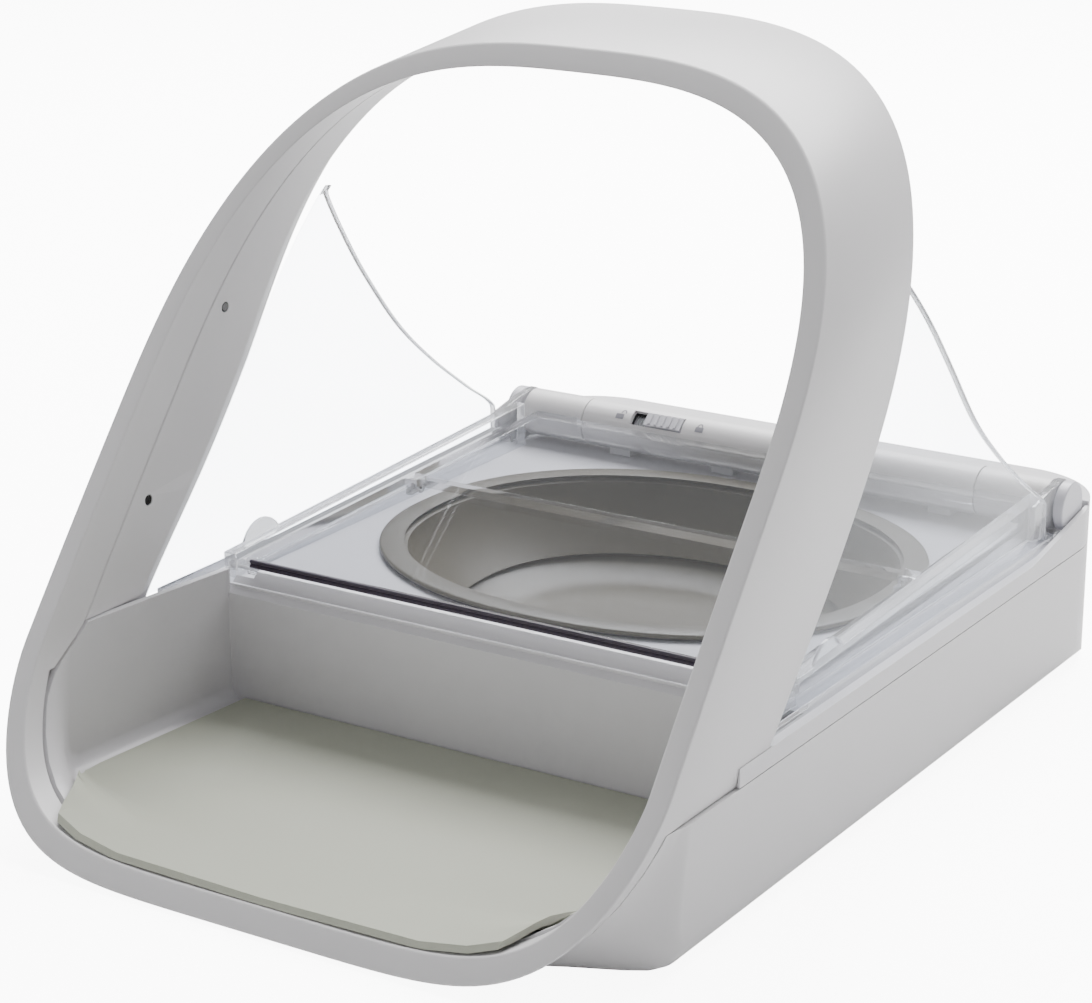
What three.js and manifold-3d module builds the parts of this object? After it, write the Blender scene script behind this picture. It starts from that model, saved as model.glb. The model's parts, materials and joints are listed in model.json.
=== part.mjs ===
// Automatic pet feeder: a rounded reader hoop over a food tray, a folding clear lid over a bowl,
// and a base that holds the batteries, the board and the hinge motor.
// Millimetres, +Z up, +Y towards the back. The origin is on the floor, under the middle of the body.

import * as THREE from 'three';
import { mergeVertices } from 'three/addons/utils/BufferGeometryUtils.js';
import Module from 'manifold-3d';

const wasm = await Module();
wasm.setup();

// ---------------------------------------------------------------- driving dimensions

const bodyWidth = 212;
const bodyLength = 325;
const frontHeight = 209;          // top of the hoop's front face
const gap = 0.3;                  // between pieces that touch or nest
const wall = 2.4;                 // base mouldings
const footHeight = 0.8;           // how far the feet hold the shell off the floor

const bandThickness = 6.3;        // hoop, from its outer skin to its inner skin
const hoopSkin = 2.2;
const hoopFace = 2.5;
const rimDepth = 8;               // hoop below the seam, behind its front face
const lipDepth = 18;              // inner skin that belongs to the front moulding
const rearSlant = 13;             // the hoop's inner rear edge is this far in front of the outer one
const crownRise = 0.11;           // how steeply the crown climbs towards the back
const frontLean = 0.7168;         // front face: y gained per z, and its slow curve
const frontCurve = 0.000396;

const seamHeight = 40.4;          // parting line between lower and upper shells
const deckHeight = 46;
const housingHeight = 54.6;       // rear housing over the electronics
const housingFront = 139.3;
const rearCorner = 30;            // plan radius of the two rear corners
const bottomEdge = 7;             // radius under the sides
const roundTo = 8;                // behind the front face, the round section turns square
const squareFrom = 41;

const trayBack = -49.4;
const trayBackHeight = 43.5;
const trayTop = 51;
const trayWall = 2;
const trayHalfFront = bodyWidth / 2 - bandThickness - gap;
const trayHalfBack = bodyWidth / 2 - 13;
const trayFloorFront = 6.6;
const trayFloorBack = 8.6;
const matThickness = 1.6;
const matLift = 0.6;
const ledgeBack = -42.5;
const ledgeHeight = 49.3;

const hingeY = 129;               // axis of the rear hinge
const barrelRadius = 8;
const hingeZ = deckHeight + barrelRadius + 1.5;
const guideY = -41;               // axis of the guide pins, lid shut
const guideZ = 50;
const lidHalf = bodyWidth / 2 - 15;
const lidPlate = 2.5;
const lidRide = 0.6;              // underside of the panels above the line of the hinge pins
const lidOpen = 80;               // degrees
const guidePinRadius = 1.5;
const hingePinRadius = 1;

const bowlHalfX = 86.5;
const bowlHalfY = 73.3;
const bowlCentreY = 44.5;
const bowlRimHeight = 48.3;
const bowlBottom = 17;
const bowlWall = 2;
const bowlRimWidth = 6;
const bowlRimThickness = 1.5;
const bowlPower = 2.2;

const railInner = lidHalf + 3;    // inner face of the clear lid rails
const railWeb = 4.5;
const wingThickness = 2;
const housingHalf = 73;           // half length of the fixed part of the hinge barrel
const capThickness = 3.5;
const bracketThickness = 2.7;

const cellRadius = 13.1;          // C cells
const cellLength = 50;
const cellBayMargin = 9.6;         // from the base's side to the room for the cells
const cellFront = 100.5;
const doorThickness = 1.5;
const doorTravel = 8;

const half = bodyWidth / 2;
const backY = bodyLength / 2;
const frontY = -backY;
const clear = 400;                // longer than anything, for cutting solids

// ---------------------------------------------------------------- materials

const plastic = (color, roughness, extra = {}) => (
  new THREE.MeshStandardMaterial({ color, roughness, metalness: 0, ...extra })
);
const shellWhite = plastic(0xe3e3e4, 0.5);
const deckGrey = plastic(0xc9c5cc, 0.45);
const matOlive = plastic(0xb4b7aa, 0.8);
const bowlGrey = plastic(0x8d8b80, 0.4);
const rubberDark = plastic(0x26222a, 0.7);
const clearPlastic = plastic(0xeef2f4, 0.08, { transparent: true, opacity: 0.35 });
const sensorBlack = plastic(0x101012, 0.25);
const boardGreen = plastic(0x1f5a3a, 0.5);
const ledGreen = plastic(0x9fd8a4, 0.3);
const metal = (color, roughness) => new THREE.MeshStandardMaterial({ color, roughness, metalness: 1 });
const steel = metal(0xb9bcc0, 0.3);
const copper = metal(0xb87333, 0.35);
const cellJacket = plastic(0x3a3d42, 0.4);

// ---------------------------------------------------------------- solids

function toSolid(geometry) {
  const bare = geometry.clone();
  bare.deleteAttribute('normal');
  bare.deleteAttribute('uv');
  const merged = mergeVertices(bare, 1e-4);
  const vertProperties = Float32Array.from(merged.attributes.position.array);
  const triVerts = Uint32Array.from(merged.index.array);
  return new wasm.Manifold(new wasm.Mesh({ numProp: 3, vertProperties, triVerts }));
}

// Booleans leave slivers, which are closed up before a piece becomes a mesh.
const sliver = 0.01;

function toGeometry(solid) {
  const mesh = solid.simplify(sliver).getMesh();
  const geometry = new THREE.BufferGeometry();
  geometry.setAttribute('position', new THREE.BufferAttribute(Float32Array.from(mesh.vertProperties), 3));
  geometry.setIndex(new THREE.BufferAttribute(Uint32Array.from(mesh.triVerts), 1));
  geometry.computeVertexNormals();
  return geometry;
}

const join = (...solids) => solids.reduce((a, b) => a.add(b));
const cut = (solid, ...tools) => tools.reduce((a, b) => a.subtract(b), solid);

function box(x0, x1, y0, y1, z0, z1) {
  const geometry = new THREE.BoxGeometry(x1 - x0, y1 - y0, z1 - z0);
  geometry.translate((x0 + x1) / 2, (y0 + y1) / 2, (z0 + z1) / 2);
  return toSolid(geometry);
}

// A flat outline of [a, b] pairs raised along Z, or turned so that it is raised along X over y and z.
function plate(outline, z0, z1) {
  const shape = new THREE.Shape(outline.map(([x, y]) => new THREE.Vector2(x, y)));
  const geometry = new THREE.ExtrudeGeometry(shape, { depth: z1 - z0, bevelEnabled: false });
  geometry.translate(0, 0, z0);
  return toSolid(geometry);
}

function sidePlate(outline, x0, x1) {
  const shape = new THREE.Shape(outline.map(([y, z]) => new THREE.Vector2(y, z)));
  const geometry = new THREE.ExtrudeGeometry(shape, { depth: x1 - x0, bevelEnabled: false });
  geometry.rotateZ(Math.PI / 2);
  geometry.rotateY(Math.PI / 2);
  geometry.translate(x0, 0, 0);
  return toSolid(geometry);
}

function rodX(x0, x1, y, z, radius, sides = 24) {
  const geometry = new THREE.CylinderGeometry(radius, radius, x1 - x0, sides);
  geometry.rotateZ(Math.PI / 2);
  geometry.translate((x0 + x1) / 2, y, z);
  return toSolid(geometry);
}

function rodY(x, y0, y1, z, radius, sides = 24) {
  const geometry = new THREE.CylinderGeometry(radius, radius, y1 - y0, sides);
  geometry.translate(x, (y0 + y1) / 2, z);
  return toSolid(geometry);
}

function rodZ(x, y, z0, z1, radius, sides = 24) {
  const geometry = new THREE.CylinderGeometry(radius, radius, z1 - z0, sides);
  geometry.rotateX(Math.PI / 2);
  geometry.translate(x, y, (z0 + z1) / 2);
  return toSolid(geometry);
}

// Joins sections of equal point count into one skin. A closed skin meets itself, an open one is capped.
function skin(sections, closed) {
  const count = sections[0].length;
  const positions = [];
  sections.forEach((section) => section.forEach((p) => positions.push(p.x, p.y, p.z)));
  const index = [];
  const last = closed ? sections.length : sections.length - 1;
  for (let i = 0; i < last; i += 1) {
    const here = i * count;
    const next = ((i + 1) % sections.length) * count;
    for (let j = 0; j < count; j += 1) {
      const k = (j + 1) % count;
      index.push(here + j, next + j, next + k, here + j, next + k, here + k);
    }
  }
  if (!closed) {
    const end = (sections.length - 1) * count;
    for (let j = 1; j < count - 1; j += 1) {
      index.push(0, j, j + 1);
      index.push(end, end + j + 1, end + j);
    }
  }
  const geometry = new THREE.BufferGeometry();
  geometry.setAttribute('position', new THREE.Float32BufferAttribute(positions, 3));
  geometry.setIndex(index);
  if (signedVolume(positions, index) < 0) {
    for (let i = 0; i < index.length; i += 3) [index[i], index[i + 1]] = [index[i + 1], index[i]];
    geometry.setIndex(index);
  }
  return toSolid(geometry);
}

function signedVolume(positions, index) {
  const corner = (i) => new THREE.Vector3().fromArray(positions, 3 * i);
  let volume = 0;
  for (let i = 0; i < index.length; i += 3) {
    volume += corner(index[i]).dot(corner(index[i + 1]).cross(corner(index[i + 2]))) / 6;
  }
  return volume;
}

const lerp = THREE.MathUtils.lerp;

// A smooth curve through a few [u, v] points, read as v for a given u.
function curveThrough(points) {
  const dense = new THREE.SplineCurve(points.map(([u, v]) => new THREE.Vector2(u, v))).getPoints(80);
  return (u) => {
    const i = dense.findIndex((p) => p.x > u);
    if (i <= 0) return i === 0 ? dense[0].y : dense[dense.length - 1].y;
    const a = dense[i - 1];
    const b = dense[i];
    return lerp(a.y, b.y, (u - a.x) / (b.x - a.x));
  };
}

// ---------------------------------------------------------------- hoop

const hoopStations = 64;
const crownFrom = 110;            // straight legs end here and the crown's curve starts
const cornerTop = 50;             // the round lower corners end here
const crownPowers = [2.96, 2.63]; // superellipse powers across and up
const cornerPowers = [5.46, 1.65];

const frontLine = (z) => frontY + frontLean * z + frontCurve * z * z;

function quarter(centreZ, reach, powers, steps) {
  const points = [];
  for (let i = 0; i <= steps; i += 1) {
    const angle = (Math.PI / 2) * (i / steps);
    const x = half * Math.cos(angle) ** (2 / powers[0]);
    points.push(new THREE.Vector2(Math.max(x, 0), centreZ + reach * Math.sin(angle) ** (2 / powers[1])));
  }
  points[steps].x = 0;
  return points;
}

// Half of the outer contour, evenly spaced from the bottom centre to the crown, then mirrored.
function outerContour() {
  const lower = quarter(cornerTop, footHeight - cornerTop, cornerPowers, 60).reverse();
  const upper = quarter(crownFrom, frontHeight - crownFrom, crownPowers, 60);
  const path = new THREE.CurvePath();
  const corners = [...lower, ...upper];
  for (let i = 1; i < corners.length; i += 1) {
    path.add(new THREE.LineCurve(corners[i - 1], corners[i]));
  }
  const right = path.getSpacedPoints(hoopStations / 2);
  const left = right.slice(1, -1).reverse().map((p) => new THREE.Vector2(-p.x, p.y));
  return [...right, ...left];
}

const contour = outerContour();
const inward = contour.map((p, i) => {
  const before = contour[(i + contour.length - 1) % contour.length];
  const after = contour[(i + 1) % contour.length];
  return new THREE.Vector2(before.y - after.y, after.x - before.x).normalize();
});
const sideAt = (z) => {
  const i = contour.findIndex((p, k) => k < hoopStations / 2 && contour[k + 1].y >= z);
  return lerp(contour[i].x, contour[i + 1].x, (z - contour[i].y) / (contour[i + 1].y - contour[i].y));
};

const hoopDepth = curveThrough([[0, 52], [48, 56], [85, 61], [120, 60], [165, 52.5], [frontHeight, 47.5]]);
const crownShare = (z) => Math.max(0, (z - crownFrom) / (frontHeight - crownFrom));

function hoopPoint(i, inset, depth) {
  const p = contour[i].clone().addScaledVector(inward[i], inset);
  const rise = crownRise * crownShare(contour[i].y) * depth;
  return new THREE.Vector3(p.x, frontLine(p.y) + depth, p.y + rise);
}

const rearDepth = (i, inset) => hoopDepth(contour[i].y) - rearSlant * (Math.max(inset, 0) / bandThickness);

// A closed band between two insets, from one depth to another. A depth is a number or a function.
function hoopBand(outerInset, innerInset, from, to) {
  const at = (depth, i, inset) => (typeof depth === 'function' ? depth(i, inset) : depth);
  const sections = contour.map((_, i) => [
    hoopPoint(i, outerInset, at(from, i, outerInset)),
    hoopPoint(i, outerInset, at(to, i, outerInset)),
    hoopPoint(i, innerInset, at(to, i, innerInset)),
    hoopPoint(i, innerInset, at(from, i, innerInset)),
  ]);
  return skin(sections, true);
}

// Everything behind, or in front of, the front face moved back by a depth, between two heights.
function frontProfile(depth, z0, z1) {
  const points = [];
  for (let k = 0; k <= 14; k += 1) {
    const z = lerp(z0, z1, k / 14);
    points.push([frontLine(z) + depth(z), z]);
  }
  return points;
}

const behindFront = (depth, z0, z1) => {
  const outline = [...frontProfile(depth, z0, z1), [clear, z1], [clear, z0]];
  return sidePlate(outline, -clear / 2, clear / 2);
};
const beforeFront = (depth, z0, z1) => {
  const outline = [...frontProfile(depth, z0, z1), [-clear, z1], [-clear, z0]];
  return sidePlate(outline, -clear / 2, clear / 2);
};

const lipAt = (z) => lerp(rimDepth, lipDepth, THREE.MathUtils.smoothstep(z, seamHeight - 4, trayTop));
const lipDepthAt = (i) => lipAt(contour[i].y);
const rimAt = () => rimDepth;

function hoopShell() {
  const outerSkin = hoopBand(0, hoopSkin, 0, rearDepth);
  const face = hoopBand(0, bandThickness, 0, hoopFace);
  const lip = hoopBand(bandThickness - hoopSkin, bandThickness, 0, lipDepthAt);
  const lowerPart = behindFront(rimAt, -clear / 4, seamHeight + gap / 2);
  return cut(join(outerSkin, face, lip), lowerPart);
}

const irHoles = [[25.46, 129.1], [26.87, 79.3]].map(([depth, z]) => [frontLine(z) + depth, z]);
const irRadius = 1.5;

function hoopCover() {
  const rearOf = (thickness) => (i, inset) => rearDepth(i, inset) - thickness;
  const clearOfLip = (i) => lipDepthAt(i) + gap;
  const innerSkin = hoopBand(bandThickness - hoopSkin, bandThickness, clearOfLip, rearDepth);
  const rearWeb = hoopBand(hoopSkin + gap, bandThickness, rearOf(hoopSkin), rearDepth);
  const below = box(-clear / 2, clear / 2, -clear, clear, -clear / 2, trayTop + gap);
  const holes = irHoles.map(([y, z]) => rodX(-half - 1, half + 1, y, z, irRadius + gap, 16));
  return cut(join(innerSkin, rearWeb), below, ...holes);
}

// Room for the hoop in what stands beside it, with its clearance on every side.
const clearOfRear = (i, inset) => rearDepth(i, inset) + 4 * gap;
const hoopVolume = hoopBand(-gap, bandThickness + gap, -5, clearOfRear);
const belowSeam = behindFront(() => rimDepth + gap, -clear / 4, seamHeight - gap / 2);
const hoopOuterVolume = cut(hoopBand(-gap, hoopSkin + gap, -5, clearOfRear), belowSeam);

function antennaCoil() {
  return hoopBand(hoopSkin + 0.5, hoopSkin + 1.4, hoopFace + 0.6, rimDepth - 0.8);
}

function irWindow(y, z, side) {
  const x = sideAt(z) - bandThickness;
  return side > 0 ? rodX(x, x + 2.2, y, z, irRadius, 16) : rodX(-x - 2.2, -x, y, z, irRadius, 16);
}

function sensorBoard(side) {
  const [[y1, z1], [y0, z0]] = irHoles;
  const past = 2.5;
  const length = Math.hypot(y1 - y0, z1 - z0) + 2 * past;
  const x = side * (sideAt(z1 + past) + half - bandThickness) / 2;   // midway between the two skins
  const geometry = new THREE.BoxGeometry(0.8, 8, length);
  geometry.rotateX(-Math.atan2(y1 - y0, z1 - z0));
  geometry.translate(x, (y0 + y1) / 2, (z0 + z1) / 2);
  return toSolid(geometry);
}

// ---------------------------------------------------------------- base

// One section of a trough, parallel to the front face and a depth behind it: straight sides and
// rounded lower corners. The half width is a function of y.
function troughSection(depth, halfAt, bottom, top, corner) {
  const rows = [[0, top]];
  for (let k = 0; k <= 10; k += 1) {
    const angle = (Math.PI / 2) * (k / 10);
    const across = 1 - Math.cos(angle) ** (2 / corner.powers[0]);
    const up = 1 - Math.sin(angle) ** (2 / corner.powers[1]);
    rows.push([across, bottom + corner.up * up]);
  }
  const right = rows.map(([across, z]) => {
    const y = frontLine(z) + depth;
    const x = halfAt(y) - Math.min(corner.across, halfAt(y) - 1) * across;
    return new THREE.Vector3(x, y, z);
  });
  const left = [...right].reverse().map((p) => new THREE.Vector3(-p.x, p.y, p.z));
  return [...right, ...left];
}

// The front sections follow the hoop's round corners and turn square behind it.
function cornerAt(depth, inset, squareRadius) {
  const s = THREE.MathUtils.smoothstep(depth, roundTo, squareFrom);
  return {
    across: lerp(half, squareRadius, s) - inset * 0.98,
    up: lerp(cornerTop - footHeight, squareRadius, s) - inset,
    powers: [lerp(cornerPowers[0], 2, s), lerp(cornerPowers[1], 2, s)],
  };
}

function depthsTo(end) {
  const depths = [];
  for (let k = 0; k <= 9; k += 1) depths.push(lerp(roundTo, squareFrom, k / 9));
  return [-1, ...depths, end];
}

function baseOuter(inset) {
  const sections = depthsTo(bodyLength + 15).map((depth) => {
    const corner = cornerAt(depth, inset, bottomEdge);
    return troughSection(depth, () => half - inset, footHeight + inset, cornerTop + 20, corner);
  });
  return skin(sections, false);
}

// Plan outline of the base: straight sides and two round rear corners.
function basePlan(inset, z0, z1) {
  const radius = rearCorner - inset;
  const shape = new THREE.Shape();
  shape.moveTo(-half + inset, frontY - 5);
  shape.lineTo(half - inset, frontY - 5);
  shape.lineTo(half - inset, backY - rearCorner);
  shape.absarc(half - rearCorner, backY - rearCorner, radius, 0, Math.PI / 2, false);
  shape.absarc(-half + rearCorner, backY - rearCorner, radius, Math.PI / 2, Math.PI, false);
  shape.lineTo(-half + inset, frontY - 5);
  const options = { depth: z1 - z0, bevelEnabled: false, curveSegments: 8 };
  const geometry = new THREE.ExtrudeGeometry(shape, options);
  geometry.translate(0, 0, z0);
  return toSolid(geometry);
}

// A superellipse outline in plan, used by the bowl, its seat and its opening.
function ovalPlan(halfX, halfY, steps = 48) {
  const points = [];
  for (let k = 0; k < steps; k += 1) {
    const angle = (2 * Math.PI * k) / steps;
    const c = Math.cos(angle);
    const s = Math.sin(angle);
    points.push([
      halfX * Math.sign(c) * Math.abs(c) ** (2 / bowlPower),
      bowlCentreY + halfY * Math.sign(s) * Math.abs(s) ** (2 / bowlPower),
    ]);
  }
  return points;
}

const trayFloorAt = (y) => lerp(trayFloorFront, trayFloorBack, (y - frontY) / (trayBack - frontY));
const trayTaper = frontY + 52.5;   // in front of this the side walls run straight
const trayHalfAt = (y) => {
  const share = Math.max(0, (y - trayTaper) / (trayBack - trayTaper));
  return lerp(trayHalfFront, trayHalfBack, share);
};

function traySkin(grow, end, top) {
  const sections = depthsTo(bodyLength - 95).map((depth) => {
    const bottom = trayFloorAt(frontLine(trayFloorFront) + depth) - grow;
    const corner = cornerAt(depth, bandThickness - grow, bottomEdge + bandThickness - 2);
    return troughSection(depth, (y) => trayHalfAt(y) + grow, bottom, top, corner);
  });
  return skin(sections, false).intersect(box(-clear, clear, -clear, end, -clear, clear));
}

// Battery bays: two C cells lie side by side in each, with their axes along Y.
const bayWall = 1.6;
const cellSpacing = 2 * cellRadius + 0.6;
const baySide = cellRadius + 0.5;
const cellOuterX = half - cellBayMargin - baySide;
const cellAxisX = [cellOuterX - cellSpacing, cellOuterX];
const bayX = [cellAxisX[0] - baySide, cellAxisX[1] + baySide];
const bayY = [cellFront - 3, cellFront + cellLength + 3];
const bayFloor = footHeight + doorThickness + 0.4;
const cellAxisZ = bayFloor + 0.4 + cellRadius;
const bayTop = cellAxisZ + cellRadius + 0.5;

const footX = bayX[0] - 12.4;
const footPlaces = [[-78, -92], [78, -92], [-footX, backY - 14], [footX, backY - 14]];
const footRadius = 6;
const footRecess = 1.2;
const screwX = half - 18;
const screwPlaces = [[-screwX, -37], [screwX, -37], [-screwX, 82], [screwX, 82]];
const screwRadius = 1.5;
const screwHeadRoom = 3.2;
const bossRadius = 4;

const sides = [-1, 1];
const spanX = (side, [x0, x1]) => (side > 0 ? [x0, x1] : [-x1, -x0]);

function lowerShell() {
  const top = seamHeight - gap / 2;
  const outer = baseOuter(0).intersect(basePlan(0, -1, top));
  const inner = baseOuter(wall).intersect(basePlan(wall, -1, top + 10));
  let shell = cut(outer, inner, beforeFront(() => rimDepth + gap, -10, top + 5));
  const floorTop = footHeight + wall;
  sides.forEach((side) => {
    const [x0, x1] = spanX(side, bayX);
    const outerX = [x0 - bayWall, x1 + bayWall];
    const bay = box(...outerX, bayY[0] - bayWall, bayY[1] + bayWall, footHeight, bayTop + bayWall);
    const slideRoof = box(...outerX, bayY[0] - doorTravel - 3, bayY[0], footHeight, bayFloor + 2);
    shell = join(shell, join(bay, slideRoof).intersect(basePlan(wall / 2, -1, clear)));
  });
  sides.forEach((side) => {
    const [x0, x1] = spanX(side, bayX);
    const room = box(x0, x1, bayY[0], bayY[1], -1, bayTop).intersect(basePlan(wall, -2, clear));
    const doorRoom = box(x0, x1, bayY[0] - doorTravel - 0.6, bayY[0] + 1, -1, bayFloor);
    shell = cut(shell, room, doorRoom);
  });
  screwPlaces.forEach(([x, y]) => {
    shell = join(shell, rodZ(x, y, footHeight + 1, seamHeight - 6, bossRadius, 16));
    shell = cut(shell, rodZ(x, y, -1, seamHeight, screwRadius + gap, 12));
    shell = cut(shell, rodZ(x, y, -1, floorTop, screwHeadRoom, 12));
  });
  footPlaces.forEach(([x, y]) => {
    shell = cut(shell, rodZ(x, y, -1, footHeight + footRecess, footRadius + gap, 20));
  });
  return shell;
}

const bowlOpening = 1.2;          // between the bowl's body and the edge of its hole
const buttonX = 21;
const buttonZ = 46.4;
const buttonRadius = 4.2;
const buttonTravel = 1.2;
const ledRadius = 1.5;
const guideLugX = [lidHalf - 3, lidHalf];

function rearHousing(inset, top) {
  const front = box(-clear / 2, clear / 2, -clear, housingFront + inset, 0, clear);
  return cut(basePlan(inset, seamHeight + gap / 2 - inset, top - inset), front);
}

// The side walls climb from the deck to the rear housing, outside the hinge's end caps.
function sideRamp(side) {
  const rampEnd = housingFront + 1;
  const low = deckHeight - 1;
  const outline = [[95, low], [95, deckHeight], [rampEnd, housingHeight - 1], [rampEnd, low]];
  const [x0, x1] = spanX(side, [half - 1.7, half]);
  return sidePlate(outline, x0, x1).intersect(basePlan(0, seamHeight, clear));
}

function deck() {
  const slab = basePlan(0, seamHeight + gap / 2, deckHeight);
  const under = basePlan(wall, seamHeight - 1, deckHeight - wall);
  const trayRoom = box(-clear / 2, clear / 2, -clear, trayBack + trayWall, 0, clear);
  const midFront = box(-clear / 2, clear / 2, -clear, -90, 0, clear);
  const middle = cut(slab, under, trayRoom);
  const ledges = cut(slab, under, midFront, box(-trayHalfFront, trayHalfFront, -clear, clear, 0, clear));
  const seat = bowlRimWidth - bowlOpening;
  const hole = plate(ovalPlan(bowlHalfX - seat, bowlHalfY - seat), 0, clear / 4);
  return cut(join(middle, ledges), hole);
}

function trayTub() {
  const tub = cut(traySkin(trayWall, trayBack + trayWall, trayTop), traySkin(0, trayBack, trayTop + 20));
  const front = beforeFront((z) => lipAt(z) + 2 * gap, -10, trayTop + 10);
  const backHalf = trayHalfBack - gap;
  const aboveBack = box(-backHalf, backHalf, trayBack - 1, clear, trayBackHeight, clear);
  const behindSides = box(-clear / 2, clear / 2, trayBack + 0.8, clear, trayBackHeight, clear);
  return cut(tub, front, aboveBack, behindSides);
}

function trayLedge() {
  const back = ledgeBack + 1.5;
  const outline = [
    [trayBack, trayBackHeight - 4], [trayBack, trayBackHeight], [ledgeBack, ledgeHeight],
    [back, ledgeHeight], [back, deckHeight - wall], [trayBack + trayWall, deckHeight - wall - 3],
  ];
  return sidePlate(outline, -trayHalfBack - 0.5, trayHalfBack + 0.5);
}

function upperShell() {
  const bosses = screwPlaces.map(([x, y]) => rodZ(x, y, seamHeight - 5.7, deckHeight - 1, bossRadius, 16));
  const pilots = screwPlaces.map(([x, y]) => (
    rodZ(x, y, seamHeight - 10, deckHeight - 1.6, screwRadius + gap, 12)
  ));
  const shellTop = cut(join(deck(), rearHousing(0, housingHeight)), rearHousing(wall, housingHeight));
  const body = join(shellTop, sideRamp(-1), sideRamp(1), trayTub(), trayLedge(), ...bosses);
  const guideRoom = sides.map((side) => {
    const [x0, x1] = spanX(side, [guideLugX[0] - 1, railInner + railWeb]);
    return box(x0, x1, guideY - 3.4, guideY + 4, deckHeight, clear);
  });
  const buttonHoles = sides.map((side) => (
    rodY(side * buttonX, backY - wall - 1, backY + 5, buttonZ, buttonRadius + 0.4)
  ));
  const ledHole = rodY(0, backY - wall - 1, backY + 5, buttonZ, ledRadius + gap, 16);
  return cut(body, hoopOuterVolume, ...pilots, ...guideRoom, ...buttonHoles, ledHole);
}

// The mat stops short of the side walls, and its front corners are cut back in a soft curve.
const matMargin = 5.8;
const matCorner = [[45.5, 0], [38.5, 4.2], [31.5, 10], [23.5, 15.2], [14.5, 18.8], [5.5, 23]];

function matPlan(end) {
  const turned = new THREE.SplineCurve(matCorner.map(([behind, cutBack]) => {
    const y = frontY + behind;
    return new THREE.Vector2(trayHalfAt(y) - matMargin - cutBack, y);
  })).getPoints(20).map((p) => [p.x, p.y]);
  const straight = [end, trayTaper].map((y) => [trayHalfAt(y) - matMargin, y]);
  const right = [...straight, ...turned];
  right.push([right[right.length - 1][0], frontY - 10]);
  const left = [...right].reverse().map(([x, y]) => [-x, y]);
  return plate([...right, ...left], 0, clear / 8);
}

// It follows the tray's floor and the curve of its front corners.
function trayMat() {
  const end = trayBack - 0.8;
  const under = traySkin(-matLift, end, clear / 4);
  const over = traySkin(-matLift - matThickness, end + 1, clear / 4 + 1);
  const ring = hoopBand(0, bandThickness + gap, -5, lipDepth + gap);
  return cut(cut(under, over).intersect(matPlan(end)), ring, beforeFront(() => 2 * gap, -10, clear / 8));
}

// ---------------------------------------------------------------- bowl

// The bowl's body narrows towards its base by a share of its size.
const bowlNarrowing = 0.32;

function bowlSolid(inset, z0, z1) {
  const steps = 5;
  const sections = [];
  for (let k = 0; k <= steps; k += 1) {
    const t = k / steps;
    const shrink = bowlNarrowing * (1 - t) ** 1.6;
    const x = (bowlHalfX - inset) * (1 - shrink);
    const y = (bowlHalfY - inset) * (1 - shrink);
    sections.push(ovalPlan(x, y).map(([px, py]) => new THREE.Vector3(px, py, lerp(z0, z1, t))));
  }
  return skin(sections, false);
}

function bowl() {
  const body = bowlSolid(bowlRimWidth, bowlBottom, bowlRimHeight);
  const rim = plate(ovalPlan(bowlHalfX, bowlHalfY), bowlRimHeight - bowlRimThickness, bowlRimHeight);
  const inside = bowlSolid(bowlRimWidth + bowlWall, bowlBottom + bowlWall, bowlRimHeight + 1);
  return cut(join(body, rim), inside);
}

function bowlGasket() {
  const top = bowlRimHeight - bowlRimThickness - gap;
  const outer = plate(ovalPlan(bowlHalfX - 0.8, bowlHalfY - 0.8), deckHeight + gap / 2, top);
  const inside = bowlRimWidth - 2;
  const inner = plate(ovalPlan(bowlHalfX - inside, bowlHalfY - inside), 0, clear / 4);
  return cut(outer, inner);
}

// ---------------------------------------------------------------- clear rails and screens

const lidRun = Math.hypot(hingeY - guideY, hingeZ - guideZ);
const panelLength = lidRun / 2;
const lidTilt = Math.atan2(hingeZ - guideZ, hingeY - guideY);
const lidLineAt = (y) => lerp(guideZ, hingeZ, (y - guideY) / (hingeY - guideY));
const openGuideY = hingeY - lidRun * Math.cos(THREE.MathUtils.degToRad(lidOpen)) * Math.cos(lidTilt);
const railBase = deckHeight + gap;
const flangeTop = railBase + 3;
const railEnd = hingeY - barrelRadius - 3;
const railFront = trayBack - 20.6;
const bracketX = [railInner + 3.5, railInner + 3.5 + bracketThickness];
const railOuter = half - hoopSkin - gap;

const shaftRadius = 2.6;
const shaftRoom = 0.4;
const webRise = 4.2;              // the rail stands this far over the line of the pins

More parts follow.
